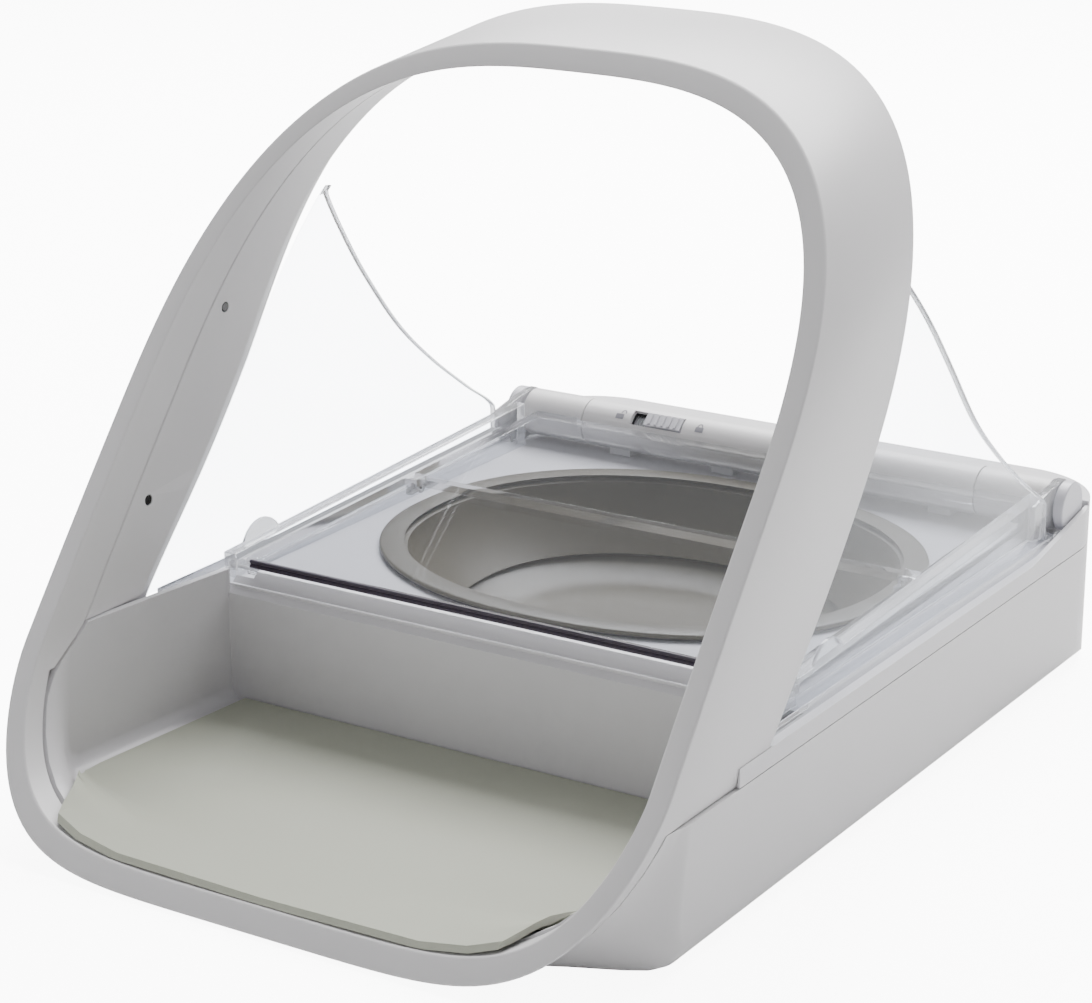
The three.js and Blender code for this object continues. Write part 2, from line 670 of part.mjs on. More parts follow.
function lidRail(side) {
  const webX = spanX(side, [railInner, railInner + railWeb]);
  const front = guideY - 3;
  const web = sidePlate([
    [front, railBase], [railEnd, railBase], [railEnd, lidLineAt(railEnd) + webRise + 2],
    [front, lidLineAt(front) + webRise],
  ], ...webX);
  const flangeX = spanX(side, [railInner + railWeb - 0.7, railOuter]);
  const flange = box(...flangeX, railFront, railEnd, railBase, flangeTop);
  const humpX = spanX(side, [railInner + railWeb - 1.2, railInner + railWeb]);
  const below = box(-clear, clear, -clear, clear, -clear, railBase + 1);
  const hump = cut(rodX(...humpX, -26, deckHeight + 4, 10, 24), below);
  const groove = sidePlate([
    [guideY - guidePinRadius - 0.4, lidLineAt(guideY) - guidePinRadius - 0.4],
    [openGuideY + guidePinRadius + 1, lidLineAt(openGuideY) - guidePinRadius - 0.4],
    [openGuideY + guidePinRadius + 1, lidLineAt(openGuideY) + guidePinRadius + 0.4],
    [guideY - guidePinRadius - 0.4, lidLineAt(guideY) + guidePinRadius + 0.4],
  ], ...spanX(side, [railInner - 1, railInner + railWeb - 1.1]));
  const crest = hingeZ + barrelRadius;
  const bracket = sidePlate([
    [railEnd - 10, railBase], [hingeY + 8.5, railBase], [hingeY + 8.5, hingeZ + 3], [hingeY + 6, crest - 2],
    [hingeY + 2, crest], [hingeY - 8, crest - 0.6], [railEnd - 10, lidLineAt(railEnd) + webRise + 1],
  ], ...spanX(side, bracketX));
  const shaftHole = rodX(-clear / 2, clear / 2, hingeY, hingeZ, shaftRadius + shaftRoom + gap);
  return cut(join(web, flange, hump, bracket), groove, shaftHole, hoopOuterVolume);
}

const screenBase = flangeTop + gap;
const screenTop = 157;
const screenRear = 111;
const screenEdge = curveThrough([
  [screenBase, screenRear], [61, screenRear], [72, 95], [86, 75], [102, 56], [122.5, 38], [140, 24],
  [screenTop, 10],
]);

function sideScreen(side) {
  const sections = [];
  const steps = 14;
  for (let k = 0; k <= steps; k += 1) {
    const z = lerp(screenBase, screenTop, k / steps);
    const outer = sideAt(z) - hoopSkin - 2 * gap;
    const inner = outer - wingThickness;
    const front = frontLine(z) + hoopDepth(z) - rearSlant;
    const back = Math.min(screenEdge(z), screenRear);
    sections.push([[outer, front], [outer, back], [inner, back], [inner, front]].map(
      ([x, y]) => new THREE.Vector3(side * x, y, z),
    ));
  }
  return cut(skin(sections, false), hoopVolume);
}

// ---------------------------------------------------------------- lid, drawn from the rear hinge axis, shut

const knuckleRadius = 2.2;
const frontLugX = [lidHalf - 4.6, lidHalf - 2.6];
const rearLugX = [lidHalf - 2.3, lidHalf - 0.1];
const hingeSetback = 1.6;
const lugSetback = 3;
const frontOverhang = 1.3;

function lidPlane(y0, y1) {
  return box(-lidHalf, lidHalf, y0, y1, lidRide, lidRide + lidPlate);
}

// A lug hangs from a panel and carries a pin on the line of the hinges. dir points back to its panel.
function hingeLug(xs, dir) {
  const y = -panelLength;
  const reach = dir * 6;
  const arm = box(...xs, Math.min(y, y + reach), Math.max(y, y + reach), -1.2, lidRide + lidPlate - 1.3);
  return join(arm, rodX(...xs, y, 0, knuckleRadius, 20));
}

const pinBore = rodX(-clear / 2, clear / 2, -panelLength, 0, hingePinRadius + gap, 16);
const lugClearance = sides.map((side) => {
  const [x0, x1] = spanX(side, [frontLugX[0] - gap, lidHalf + 1]);
  return box(x0, x1, -panelLength - lugSetback, -panelLength + lugSetback, -clear, clear);
});

function lidFrontPanel() {
  const plane = cut(lidPlane(-lidRun - frontOverhang, -panelLength - hingeSetback), ...lugClearance);
  const lugs = sides.map((side) => hingeLug(spanX(side, frontLugX), -1));
  const guideLugs = sides.map((side) => {
    const [x0, x1] = spanX(side, guideLugX);
    const block = box(x0, x1, -lidRun - frontOverhang, -lidRun + 2.6, 0, lidRide + 1);
    return join(block, rodX(x0, x1, -lidRun, 0, 2.6, 20));
  });
  const guideBore = rodX(-clear / 2, clear / 2, -lidRun, 0, guidePinRadius + gap, 16);
  const trim = box(-clear / 2, clear / 2, -lidRun - 10, -lidRun - frontOverhang, -clear, clear);
  return cut(join(plane, ...lugs, ...guideLugs), pinBore, guideBore, trim);
}

function lidRearPanel() {
  const rearEdge = -barrelRadius - 1.5;
  const plane = cut(lidPlane(-panelLength + hingeSetback, rearEdge), ...lugClearance);
  const arms = sides.map((side) => {
    const [x0, x1] = spanX(side, [housingHalf + 1, lidHalf]);
    return box(x0, x1, rearEdge - 1, -barrelRadius + 1.2, lidRide, lidRide + lidPlate);
  });
  const lugs = sides.map((side) => hingeLug(spanX(side, rearLugX), 1));
  const barrel = rodX(-clear / 2, clear / 2, 0, 0, barrelRadius + gap, 48);
  return cut(join(plane, ...arms, ...lugs), pinBore, barrel);
}

function lidSeal() {
  const y = -lidRun - frontOverhang - gap;
  return box(-lidHalf + 2, lidHalf - 2, y - 1.1, y, lidRide - 0.2, lidRide + lidPlate);
}

const hingePinX = [frontLugX[0] + 0.2, rearLugX[1] - 0.2];
const hingePin = (side) => rodX(...spanX(side, hingePinX), -panelLength, 0, hingePinRadius, 12);
const guidePinX = [guideLugX[0] + 0.3, railInner + railWeb - 1.5];
const guidePin = (side) => rodX(...spanX(side, guidePinX), -lidRun, 0, guidePinRadius, 16);

function hingeSleeve(side) {
  const xs = spanX(side, [housingHalf + 0.4, bracketX[0] - gap]);
  const bore = rodX(-clear / 2, clear / 2, 0, 0, shaftRadius + shaftRoom, 20);
  return cut(rodX(...xs, 0, 0, barrelRadius, 40), bore);
}

const shaftX = [60.5, bracketX[1] + 2.5];
const hingeShaft = (side) => rodX(...spanX(side, shaftX), 0, 0, shaftRadius, 20);

// ---------------------------------------------------------------- hinge barrel, fixed

const barrelBore = 6.4;
const sliderX = -42;
const sliderHalf = 7;
const sliderTravel = 5;
const sliderWidth = 5;
const sliderTilt = 48;            // degrees from the front, round the barrel
const motorX = [-36, -9];
const gearboxX = [-60, -36.3];
const motorRadius = 5.6;

// Turned round the barrel from its top to where the slider sits.
function roundBarrel(solid) {
  return solid.rotate([90 - sliderTilt, 0, 0]).translate([0, hingeY, hingeZ]);
}

function barrelHousing() {
  const tube = rodX(-housingHalf, housingHalf, hingeY, hingeZ, barrelRadius, 40);
  const bore = rodX(-clear / 2, clear / 2, hingeY, hingeZ, barrelBore, 32);
  const feet = [-60, -20, 20, 60].map((x) => (
    box(x - 4, x + 4, hingeY - 4, hingeY + 4, deckHeight + gap, hingeZ - barrelBore - 0.4)
  ));
  const pocketX0 = sliderX - sliderHalf - sliderTravel - 0.5;
  const pocketX = [pocketX0, sliderX + sliderHalf + 0.5];
  const pocket = box(...pocketX, -sliderWidth / 2 - gap, sliderWidth / 2 + gap, 3, 12);
  return cut(join(tube, ...feet), bore, roundBarrel(pocket));
}

function lockSlider() {
  const x0 = sliderX - sliderHalf;
  const x1 = sliderX + sliderHalf;
  let slider = box(x0, x1, -sliderWidth / 2, sliderWidth / 2, barrelBore + 0.1, barrelRadius + 0.2);
  const ribHalf = sliderWidth / 2 - 0.4;
  for (let k = 0; k < 5; k += 1) {
    const x = lerp(x0 + 2, x1 - 2, k / 4);
    const rib = box(x - 0.5, x + 0.5, -ribHalf, ribHalf, barrelRadius, barrelRadius + 0.7);
    slider = join(slider, rib);
  }
  return roundBarrel(slider);
}

const endCapX = [bracketX[1] + gap, bracketX[1] + gap + capThickness];

function endCap(side) {
  const disc = rodX(...spanX(side, endCapX), hingeY, hingeZ, barrelRadius, 40);
  const bore = rodX(...spanX(side, [0, shaftX[1] + gap]), hingeY, hingeZ, shaftRadius + shaftRoom, 20);
  return cut(disc, bore);
}

const gearmotor = () => rodX(...motorX, hingeY, hingeZ, motorRadius, 24);

function gearbox() {
  const shell = rodX(...gearboxX, hingeY, hingeZ, motorRadius, 24);
  return shell;
}

function shaftBush() {
  const disc = rodX(shaftX[0] + 1.5, housingHalf - 1, hingeY, hingeZ, barrelBore - gap, 24);
  return cut(disc, rodX(0, clear, hingeY, hingeZ, shaftRadius + 0.3, 20));
}

// ---------------------------------------------------------------- buttons, board and power

const boardFace = backY - 12;

function pushButton(side) {
  const x = side * buttonX;
  const cap = rodY(x, backY - wall - 2, backY - 0.2, buttonZ, buttonRadius);
  const flange = rodY(x, backY - wall - 2, backY - wall - 0.5, buttonZ, buttonRadius + 1.2);
  const stem = rodY(x, boardFace + 4.2, backY - wall - 1, buttonZ, 1.8, 12);
  return join(cap, flange, stem);
}

// A tactile switch soldered to the button board behind each button.
const switchBody = (side) => (
  join(
    box(side * buttonX - 3, side * buttonX + 3, boardFace - 0.5, boardFace + 1.8, buttonZ - 3, buttonZ + 3),
    rodY(side * buttonX, boardFace + 1, boardFace + 2.6, buttonZ, 1.6, 12),
  )
);

function buttonBoard() {
  const board = box(-30, 30, boardFace - 1.6, boardFace, seamHeight + 1.5, housingHeight - wall - 1);
  return join(board, ...sides.map(switchBody));
}

const statusLight = () => rodY(0, boardFace + gap, backY - 0.4, buttonZ, ledRadius, 16);

const mainBoardZ = 33;
const mainBoardX = cellAxisX[0] - baySide - bayWall - 4;
const mainBoardY = [116, boardFace - 4];

// The control chip and the reader's radio can are soldered down, so they belong to the board.
function mainBoard() {
  const board = box(-mainBoardX, mainBoardX, ...mainBoardY, mainBoardZ, mainBoardZ + 1.6);
  const chip = box(-9, 9, 124, 136, mainBoardZ + 1, mainBoardZ + 4);
  const radio = box(14, 29, 122, 138, mainBoardZ + 1, mainBoardZ + 5);
  return join(board, chip, radio);
}

const sounder = () => rodZ(-24, 131, mainBoardZ + 1.6 + gap, mainBoardZ + 7, 6, 20);

function batteryCell(side, k) {
  const x = side * cellAxisX[k];
  const body = rodY(x, cellFront, cellFront + cellLength - 1.6, cellAxisZ, cellRadius, 28);
  return join(body, rodY(x, cellFront + cellLength - 2, cellFront + cellLength, cellAxisZ, 3.2, 16));
}

const contactY = [bayY[0] + gap, bayY[1] - gap - 0.6];
const contactPlate = (side, k) => {
  const [x0, x1] = spanX(side, [cellAxisX[0] - 6, cellAxisX[1] + 6]);
  return box(x0, x1, contactY[k], contactY[k] + 0.6, cellAxisZ - 6, cellAxisZ + 6);
};

function batteryDoor(side) {
  const [x0, x1] = spanX(side, [bayX[0] + 0.4, bayX[1] - 0.4]);
  const plan = basePlan(wall + 0.4, -2, clear);
  const base = footHeight + 0.1;
  const panel = box(x0, x1, bayY[0] - 0.4, bayY[1] - 0.5, base, base + doorThickness);
  const grips = [0, 1, 2].map((k) => (
    box(x0 + 18, x1 - 18, bayY[0] + 8 + 3 * k, bayY[0] + 9.2 + 3 * k, 0, footHeight + 0.6)
  ));
  return cut(panel, ...grips).intersect(plan);
}

const foot = ([x, y]) => rodZ(x, y, 0, footHeight + footRecess - gap, footRadius, 20);

function caseScrew([x, y]) {
  const head = rodZ(x, y, footHeight + 0.8, footHeight + wall - gap, 2.8, 12);
  return join(head, rodZ(x, y, footHeight + wall - 0.6, seamHeight + 3, screwRadius, 12));
}

// ---------------------------------------------------------------- assembly

const feeder = new THREE.Group();
const lid = new THREE.Group();
lid.position.set(0, hingeY, hingeZ);
lid.rotation.x = lidTilt;
feeder.add(lid);

function place(parent, name, solid, material) {
  const mesh = new THREE.Mesh(toGeometry(solid), material);
  mesh.name = name;
  parent.add(mesh);
}

const sideName = (side) => (side < 0 ? 'left' : 'right');

place(feeder, 'hoop_shell', hoopShell(), shellWhite);
place(feeder, 'hoop_inner_cover', hoopCover(), shellWhite);
place(feeder, 'antenna_coil', antennaCoil(), copper);
place(feeder, 'base_lower_shell', lowerShell(), shellWhite);
place(feeder, 'base_upper_shell', upperShell(), shellWhite);
place(feeder, 'tray_mat', trayMat(), matOlive);
place(feeder, 'bowl', bowl(), bowlGrey);
place(feeder, 'bowl_gasket', bowlGasket(), rubberDark);
place(feeder, 'hinge_barrel_housing', barrelHousing(), shellWhite);
place(feeder, 'lock_slider', lockSlider(), shellWhite);
place(feeder, 'hinge_motor', gearmotor(), steel);
place(feeder, 'motor_gearbox', gearbox(), steel);
place(feeder, 'shaft_bush', shaftBush(), deckGrey);
place(feeder, 'main_board', mainBoard(), boardGreen);
place(feeder, 'sounder', sounder(), sensorBlack);
place(feeder, 'button_board', buttonBoard(), boardGreen);
place(feeder, 'status_light_pipe', statusLight(), ledGreen);
place(lid, 'lid_front_panel', lidFrontPanel(), clearPlastic);
place(lid, 'lid_rear_panel', lidRearPanel(), clearPlastic);
place(lid, 'lid_front_seal', lidSeal(), rubberDark);

sides.forEach((side) => {
  const name = sideName(side);
  place(feeder, `lid_rail_${name}`, lidRail(side), clearPlastic);
  place(feeder, `side_screen_${name}`, sideScreen(side), clearPlastic);
  place(feeder, `hinge_end_cap_${name}`, endCap(side), shellWhite);
  place(feeder, `sensor_board_${name}`, sensorBoard(side), boardGreen);
  place(feeder, `battery_door_${name}`, batteryDoor(side), shellWhite);
  place(feeder, side < 0 ? 'add_pet_button' : 'open_close_button', pushButton(side), deckGrey);
  place(lid, `hinge_sleeve_${name}`, hingeSleeve(side), shellWhite);
  place(lid, `hinge_shaft_${name}`, hingeShaft(side), steel);
  place(lid, `fold_hinge_pin_${name}`, hingePin(side), steel);
  place(lid, `guide_pin_${name}`, guidePin(side), clearPlastic);
  irHoles.forEach(([y, z], k) => {
    place(feeder, `sensor_window_${['upper', 'lower'][k]}_${name}`, irWindow(y, z, side), sensorBlack);
  });
  ['front', 'rear'].forEach((end, k) => {
    place(feeder, `battery_contact_${end}_${name}`, contactPlate(side, k), copper);
  });
  ['inner', 'outer'].forEach((which, k) => {
    place(feeder, `battery_cell_${which}_${name}`, batteryCell(side, k), cellJacket);
  });
});

['front_left', 'front_right', 'rear_left', 'rear_right'].forEach((name, k) => {
  place(feeder, `foot_${name}`, foot(footPlaces[k]), rubberDark);
  place(feeder, `case_screw_${name}`, caseScrew(screwPlaces[k]), steel);
});

export default feeder;
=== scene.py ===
# %% [markdown]
# # Automatic pet feeder
# The feeder is a low box with a tray in front, a bowl under a folding clear lid, and a hoop that
# reads a pet's tag as it leans in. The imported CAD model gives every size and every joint. This
# lesson dresses that model: smooth moulded shells, clear plastic, rubber and steel.

import json
from math import atan2, cos, hypot, pi, radians, sin

import bmesh
import bpy
import numpy as np
from mathutils import Matrix, Vector


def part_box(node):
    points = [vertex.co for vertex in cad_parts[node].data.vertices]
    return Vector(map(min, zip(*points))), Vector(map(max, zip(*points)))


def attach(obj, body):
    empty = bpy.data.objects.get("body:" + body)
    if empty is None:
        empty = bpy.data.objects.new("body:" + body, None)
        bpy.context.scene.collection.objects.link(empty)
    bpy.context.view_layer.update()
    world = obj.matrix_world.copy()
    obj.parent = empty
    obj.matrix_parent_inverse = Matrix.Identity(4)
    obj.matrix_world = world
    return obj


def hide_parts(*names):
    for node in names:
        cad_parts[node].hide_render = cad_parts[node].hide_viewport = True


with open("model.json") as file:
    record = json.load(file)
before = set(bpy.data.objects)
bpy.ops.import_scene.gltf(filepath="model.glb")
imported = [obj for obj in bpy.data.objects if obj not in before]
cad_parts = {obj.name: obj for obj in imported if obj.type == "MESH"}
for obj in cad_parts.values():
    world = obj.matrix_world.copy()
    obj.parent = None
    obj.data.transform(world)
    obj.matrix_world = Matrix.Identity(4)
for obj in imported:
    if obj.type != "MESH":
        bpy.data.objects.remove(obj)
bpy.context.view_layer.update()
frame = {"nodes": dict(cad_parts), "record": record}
NODES = frame["nodes"]
BODY_OF = {n: b for b, ns in frame["record"]["behaviour"]["bodies"].items() for n in ns}
MM = 0.001
SIDES = {"left": -1, "right": 1}

# %% [markdown]
# ## Finishes
# Each finish is one node material, named for what it is made of. Two helpers are enough: one
# turns a hex colour into the linear values that the shader mixes, and one adds a node, sets its
# sockets and links it. Patterns read Object coordinates, in metres, so a pattern's scale is one
# divided by its size. A finished piece sits at the origin, so its pattern doesn't slide.

# %% Colour and node helpers
def linear(hex_colour):
    """The linear colour of an sRGB hex value."""
    parts = [int(hex_colour[i:i + 2], 16) / 255 for i in (0, 2, 4)]
    return (*(v / 12.92 if v <= 0.04045 else ((v + 0.055) / 1.055) ** 2.4 for v in parts), 1.0)


def add(tree, kind, settings=None, links=None):
    """Adds a node. A setting is a socket's value where the node has that socket, else a property."""
    node = tree.nodes.new(kind)
    props = {k: v for k, v in (settings or {}).items() if isinstance(k, str) and k not in node.inputs}
    for key, value in props.items():
        setattr(node, key, value)
    for key, value in (settings or {}).items():
        if key not in props:
            node.inputs[key].default_value = value
    for key, source in (links or {}).items():
        tree.links.new(source, node.inputs[key])
    return node


def new_material(name):
    """An empty node material and its tree."""
    material = bpy.data.materials.new(name)
    material.use_nodes = True
    material.node_tree.nodes.clear()
    return material, material.node_tree


print("colour", linear("808080")[0], "is the linear value of sRGB 808080")


# %% Moulded surfaces
def moulded(name, base, tint, roughness, spread=0.06, grain_mm=0.6, grain_depth_mm=0.01, edge_paling_max=0.3,
            **shader):
    """A moulded or pressed surface: soft colour drift, a fine grain, and paler edges."""
    material, tree = new_material(name)
    place = add(tree, "ShaderNodeTexCoord").outputs["Object"]
    drift = add(tree, "ShaderNodeTexNoise", {"Scale": 1 / 0.045, "Detail": 3.0}, {"Vector": place})
    colour = add(tree, "ShaderNodeMix", {"data_type": "RGBA", 6: linear(base), 7: linear(tint)},
                 {0: drift.outputs["Fac"]})
    # The colour turns paler towards sharp convex edges, where Pointiness is high, on every part alike.
    edge = add(tree, "ShaderNodeNewGeometry").outputs["Pointiness"]
    edge_paling = add(tree, "ShaderNodeMapRange", {"From Min": 0.52, "From Max": 0.62, "To Max": edge_paling_max},
               {"Value": edge})
    paler = tuple(min(1.0, 1.18 * v + 0.02) for v in linear(base)[:3]) + (1.0,)
    shown = add(tree, "ShaderNodeMix", {"data_type": "RGBA", 7: paler},
                {0: edge_paling.outputs["Result"], 6: colour.outputs[2]})
    grain = add(tree, "ShaderNodeTexNoise", {"Scale": 1000 / grain_mm, "Detail": 2.0}, {"Vector": place})
    rough = add(tree, "ShaderNodeMapRange",
                {"From Min": 0.25, "From Max": 0.75,
                 "To Min": roughness - spread, "To Max": roughness + spread},
                {"Value": grain.outputs["Fac"]})
    relief = add(tree, "ShaderNodeBump", {"Strength": 0.35, "Distance": grain_depth_mm * MM},
                 {"Height": grain.outputs["Fac"]})
    skin = add(tree, "ShaderNodeBsdfPrincipled", shader,
               {"Base Color": shown.outputs[2], "Roughness": rough.outputs["Result"],
                "Normal": relief.outputs["Normal"]})
    add(tree, "ShaderNodeOutputMaterial", links={"Surface": skin.outputs[0]})
    return material


print("moulded surfaces can be made")

# %% [markdown]
# The shells are injection-moulded ABS from a spark-eroded tool. That gives a cool white with a
# broad soft highlight and a grain of about half a millimetre. A little light enters white ABS, so
# a trace of subsurface scattering softens its shadows. The bowl is polypropylene with a satin
# polish, the mat is pressed silicone with a chalky surface, and the seals are dark elastomer. On
# the lid's front seal that dark is painted shade: it stands in for the dark look of the clear
# plastic's front edge. One function makes them all: each is a base colour and a tint, a roughness
# with its spread, and a grain with its width and depth in millimetres. An image could give the
# grain, but noise needs no file and has no repeat.

# %% Opaque finishes
WHITE = moulded("abs_white_spark_eroded", "D3D1D2", "CDCBCC", 0.42,
                **{"IOR": 1.54, "Subsurface Weight": 0.05, "Subsurface Radius": (0.002, 0.002, 0.002)})
DECK = moulded("abs_white_base_moulding", "D0CED0", "C9C7CA", 0.38, **{"IOR": 1.54})
GREY = moulded("abs_pale_grey_button", "C9C8CE", "BFBEC5", 0.35, **{"IOR": 1.54})
MAT = moulded("silicone_pressed_mat", "ADAFA1", "A6A89A", 0.72, 0.05, 0.9, 0.02, 0.2, **{"IOR": 1.43})
BOWL = moulded("polypropylene_bowl_polished", "5A5446", "524C3F", 0.4, 0.03, 0.5, 0.002, 0.2,
               **{"IOR": 1.46})
# A dark seal colour: the bowl gasket's own, and on the lid's front seal it is painted shade for the dark
# look of the clear plastic's edge.
DARK_SEAL_AND_PAINTED_SHADE = moulded("elastomer_seal_and_painted_edge_shade", "3A3040", "2C2632", 0.5, 0.08, 0.5, 0.01, 0.3, **{"IOR": 1.5})
FOOT = moulded("rubber_foot", "2B2B2D", "232325", 0.75, 0.08, 0.4, 0.02, 0.2, **{"IOR": 1.52})
BLACK = moulded("acrylic_sensor_window", "17171B", "0F0F12", 0.15, 0.03, 1.0, 0.002, 0.2, **{"IOR": 1.49})
BOARD = moulded("circuit_board_solder_mask", "1F5B3C", "184A31", 0.35, 0.06, 0.8, 0.01, 0.3, **{"IOR": 1.5})
PRINT = moulded("pad_printed_ink", "8B8A91", "7D7C84", 0.5, 0.05, 0.5, 0.004, 0.1, **{"IOR": 1.5})
JACKET = moulded("printed_cell_jacket", "41464B", "383C41", 0.32, 0.05, 1.5, 0.004, 0.3,
                 **{"IOR": 1.5, "Coat Weight": 0.3})
LIGHT = moulded("light_pipe_diffuser", "BFE6C4", "B0DDB6", 0.3, 0.04, 0.8, 0.004, 0.1,
                **{"IOR": 1.49, "Transmission Weight": 0.4})
print("opaque finishes made")

# %% [markdown]
# Metal parts are turned or stamped. Their colour is the reflection itself, so the metal is fully
# metallic, and fine turning marks break the highlight. A wave pattern draws the marks, because they
# run round a part in even steps and noise would look cast. Metals keep the default IOR.

# %% Metal finishes
def turned(name, base, tint, roughness, mark_mm):
    """A turned or stamped metal surface, with marks a set width apart."""
    material, tree = new_material(name)
    place = add(tree, "ShaderNodeTexCoord").outputs["Object"]
    drift = add(tree, "ShaderNodeTexNoise", {"Scale": 1 / 0.02}, {"Vector": place})
    colour = add(tree, "ShaderNodeMix", {"data_type": "RGBA", 6: linear(base), 7: linear(tint)},
                 {0: drift.outputs["Fac"]})
    marks = add(tree, "ShaderNodeTexWave", {"Scale": 1000 / mark_mm / (2 * pi), "Distortion": 1.5},
                {"Vector": place})
    rough = add(tree, "ShaderNodeMapRange", {"To Min": roughness - 0.08, "To Max": roughness + 0.08},
                {"Value": marks.outputs["Fac"]})
    relief = add(tree, "ShaderNodeBump", {"Strength": 0.3, "Distance": 0.004 * MM},
                 {"Height": marks.outputs["Fac"]})
    skin = add(tree, "ShaderNodeBsdfPrincipled", {"Metallic": 1.0},
               {"Base Color": colour.outputs[2], "Roughness": rough.outputs["Result"],
                "Normal": relief.outputs["Normal"]})
    add(tree, "ShaderNodeOutputMaterial", links={"Surface": skin.outputs[0]})
    return material


STEEL = turned("steel_turned", "B9BBBE", "ABADB1", 0.28, 0.5)
COPPER = turned("copper_enamelled_wire", "B5703A", "A8622F", 0.3, 0.4)
BRASS = turned("brass_stamped_contact", "C9A254", "BD9547", 0.3, 0.6)
print("metal finishes made")

# %% [markdown]
# The lid, rails and side screens are clear polycarbonate with polished, parallel faces. A solid
# glass shader would bend light at both skins of a thin sheet and come out dark. A wide face of
# such a sheet lets light straight through and adds only a mirror reflection, which grows as the
# view gets shallow, so it is a transparent surface mixed with a little gloss by Layer Weight.
# Light that runs inside the sheet leaves at its rims. They get a milky transmissive finish, which
# draws the outline of each part. Rays on their way to a lamp pass both, so the sheet casts hardly
# a shadow.

# %% Polished faces of clear plastic
def polished_face(name, tint, roughness):
    """A surface that lets light straight through, with a reflection that grows with the slant."""
    material, tree = new_material(name)
    place = add(tree, "ShaderNodeTexCoord").outputs["Object"]
    smears = add(tree, "ShaderNodeTexNoise", {"Scale": 1 / 0.03, "Detail": 4.0, "Distortion": 0.6},
                 {"Vector": place})
    rough = add(tree, "ShaderNodeMapRange", {"To Min": roughness * 0.4, "To Max": roughness * 1.6},
                {"Value": smears.outputs["Fac"]})
    flow = add(tree, "ShaderNodeTexNoise", {"Scale": 1 / 0.06}, {"Vector": place})
    relief = add(tree, "ShaderNodeBump", {"Strength": 0.1, "Distance": 0.05 * MM},
                 {"Height": flow.outputs["Fac"]})
    gloss = add(tree, "ShaderNodeBsdfAnisotropic", {"Color": linear("FFFFFF")},
                {"Roughness": rough.outputs["Result"], "Normal": relief.outputs["Normal"]})
    passed = add(tree, "ShaderNodeBsdfTransparent", {"Color": linear(tint)})
    facing = add(tree, "ShaderNodeLayerWeight", {"Blend": 0.5}).outputs["Facing"]
    shallow = add(tree, "ShaderNodeMath", {"operation": "POWER", 1: 4.0}, {0: facing})
    share = add(tree, "ShaderNodeMapRange", {"To Min": 0.03, "To Max": 0.45},
                {"Value": shallow.outputs[0]})
    mix = add(tree, "ShaderNodeMixShader",
              links={0: share.outputs["Result"], 1: passed.outputs[0], 2: gloss.outputs[0]})
    add(tree, "ShaderNodeOutputMaterial", links={"Surface": mix.outputs[0]})
    return material


PANE = polished_face("polycarbonate_polished_face", "F7F8FA", 0.03)
print("polished faces made")


# %% Lit rims of clear plastic
def lit_rim(name, tint, roughness, clearness):
    """A milky edge: partly clear, partly the tint, and open to light on its way to a lamp."""
    material, tree = new_material(name)
    place = add(tree, "ShaderNodeTexCoord").outputs["Object"]
    streaks = add(tree, "ShaderNodeTexNoise", {"Scale": 1 / 0.008, "Detail": 3.0}, {"Vector": place})
    rough = add(tree, "ShaderNodeMapRange", {"To Min": roughness * 0.5, "To Max": roughness * 1.5},
                {"Value": streaks.outputs["Fac"]})
    skin = add(tree, "ShaderNodeBsdfPrincipled",
               {"Base Color": linear(tint), "IOR": 1.52, "Transmission Weight": clearness},
               {"Roughness": rough.outputs["Result"]})
    passed = add(tree, "ShaderNodeBsdfTransparent", {"Color": linear("E8EAED")})
    path = add(tree, "ShaderNodeLightPath")
    mix = add(tree, "ShaderNodeMixShader",
              links={0: path.outputs["Is Shadow Ray"], 1: skin.outputs[0], 2: passed.outputs[0]})
    add(tree, "ShaderNodeOutputMaterial", links={"Surface": mix.outputs[0]})
    return material


RIM_LIT = lit_rim("polycarbonate_lit_rim", "DDDDDE", 0.1, 0.78)
CLEAR = (PANE, RIM_LIT)
print("lit rims made")

# %% [markdown]
# The record of the part names a material slot for every finish, so that another scene can repaint
# it.

# %% [markdown]
# ## Mesh helpers
# Every piece joins the model in one way: it gets its finish and slot, says which CAD nodes it
# stands for, and rides on a body, so that it moves with a joint. Edges sharper than a set angle
# stay crisp under smooth shading.

# %% Placing a piece
def piece(name, mesh, finish, body, replaced=(), crisp_deg=35, rim_mm2=0.0):
    """Links a finished mesh as a piece that rides on a body and stands for its CAD nodes. Of two
    finishes, the second goes on the faces that are smaller than rim_mm2."""
    finishes = finish if isinstance(finish, tuple) else (finish,)
    mesh.name = name
    mesh.materials.clear()
    for material in finishes:
        mesh.materials.append(material)
    if len(finishes) > 1:
        for polygon in mesh.polygons:
            polygon.material_index = int(polygon.area < rim_mm2 * MM * MM)
    if crisp_deg:
        mesh.shade_smooth()
        mesh.set_sharp_from_angle(angle=radians(crisp_deg))
    obj = bpy.data.objects.new(name, mesh)
    bpy.context.scene.collection.objects.link(obj)
    if replaced:
        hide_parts(*replaced)
    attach(obj, body)
    return obj


# %% [markdown]
# Most shapes here are skins: a chain of cross-sections with the same number of points, joined by
# quads. A closed chain meets itself, and an open one gets a face at each end. Curves and bevels
# could draw the same, but a chain of sections can change its outline on the way. Normals are
# recalculated outwards once, after the points that coincide are merged.


# %% Skins through sections
def skin_mesh(name, sections, ring=False):
    """A mesh through sections of equal point count, in millimetres."""
    count = len(sections[0])
    points = [Vector(p) * MM for section in sections for p in section]
    faces = []
    spans = len(sections) if ring else len(sections) - 1
    for i in range(spans):
        here, there = i * count, ((i + 1) % len(sections)) * count
        for j in range(count):
            k = (j + 1) % count
            faces.append((here + j, there + j, there + k, here + k))
    if not ring:
        faces += [tuple(range(count)), tuple(range(spans * count, (spans + 1) * count))]
    mesh = bpy.data.meshes.new(name)
    mesh.from_pydata(points, [], faces)
    close_up(mesh)
    return mesh


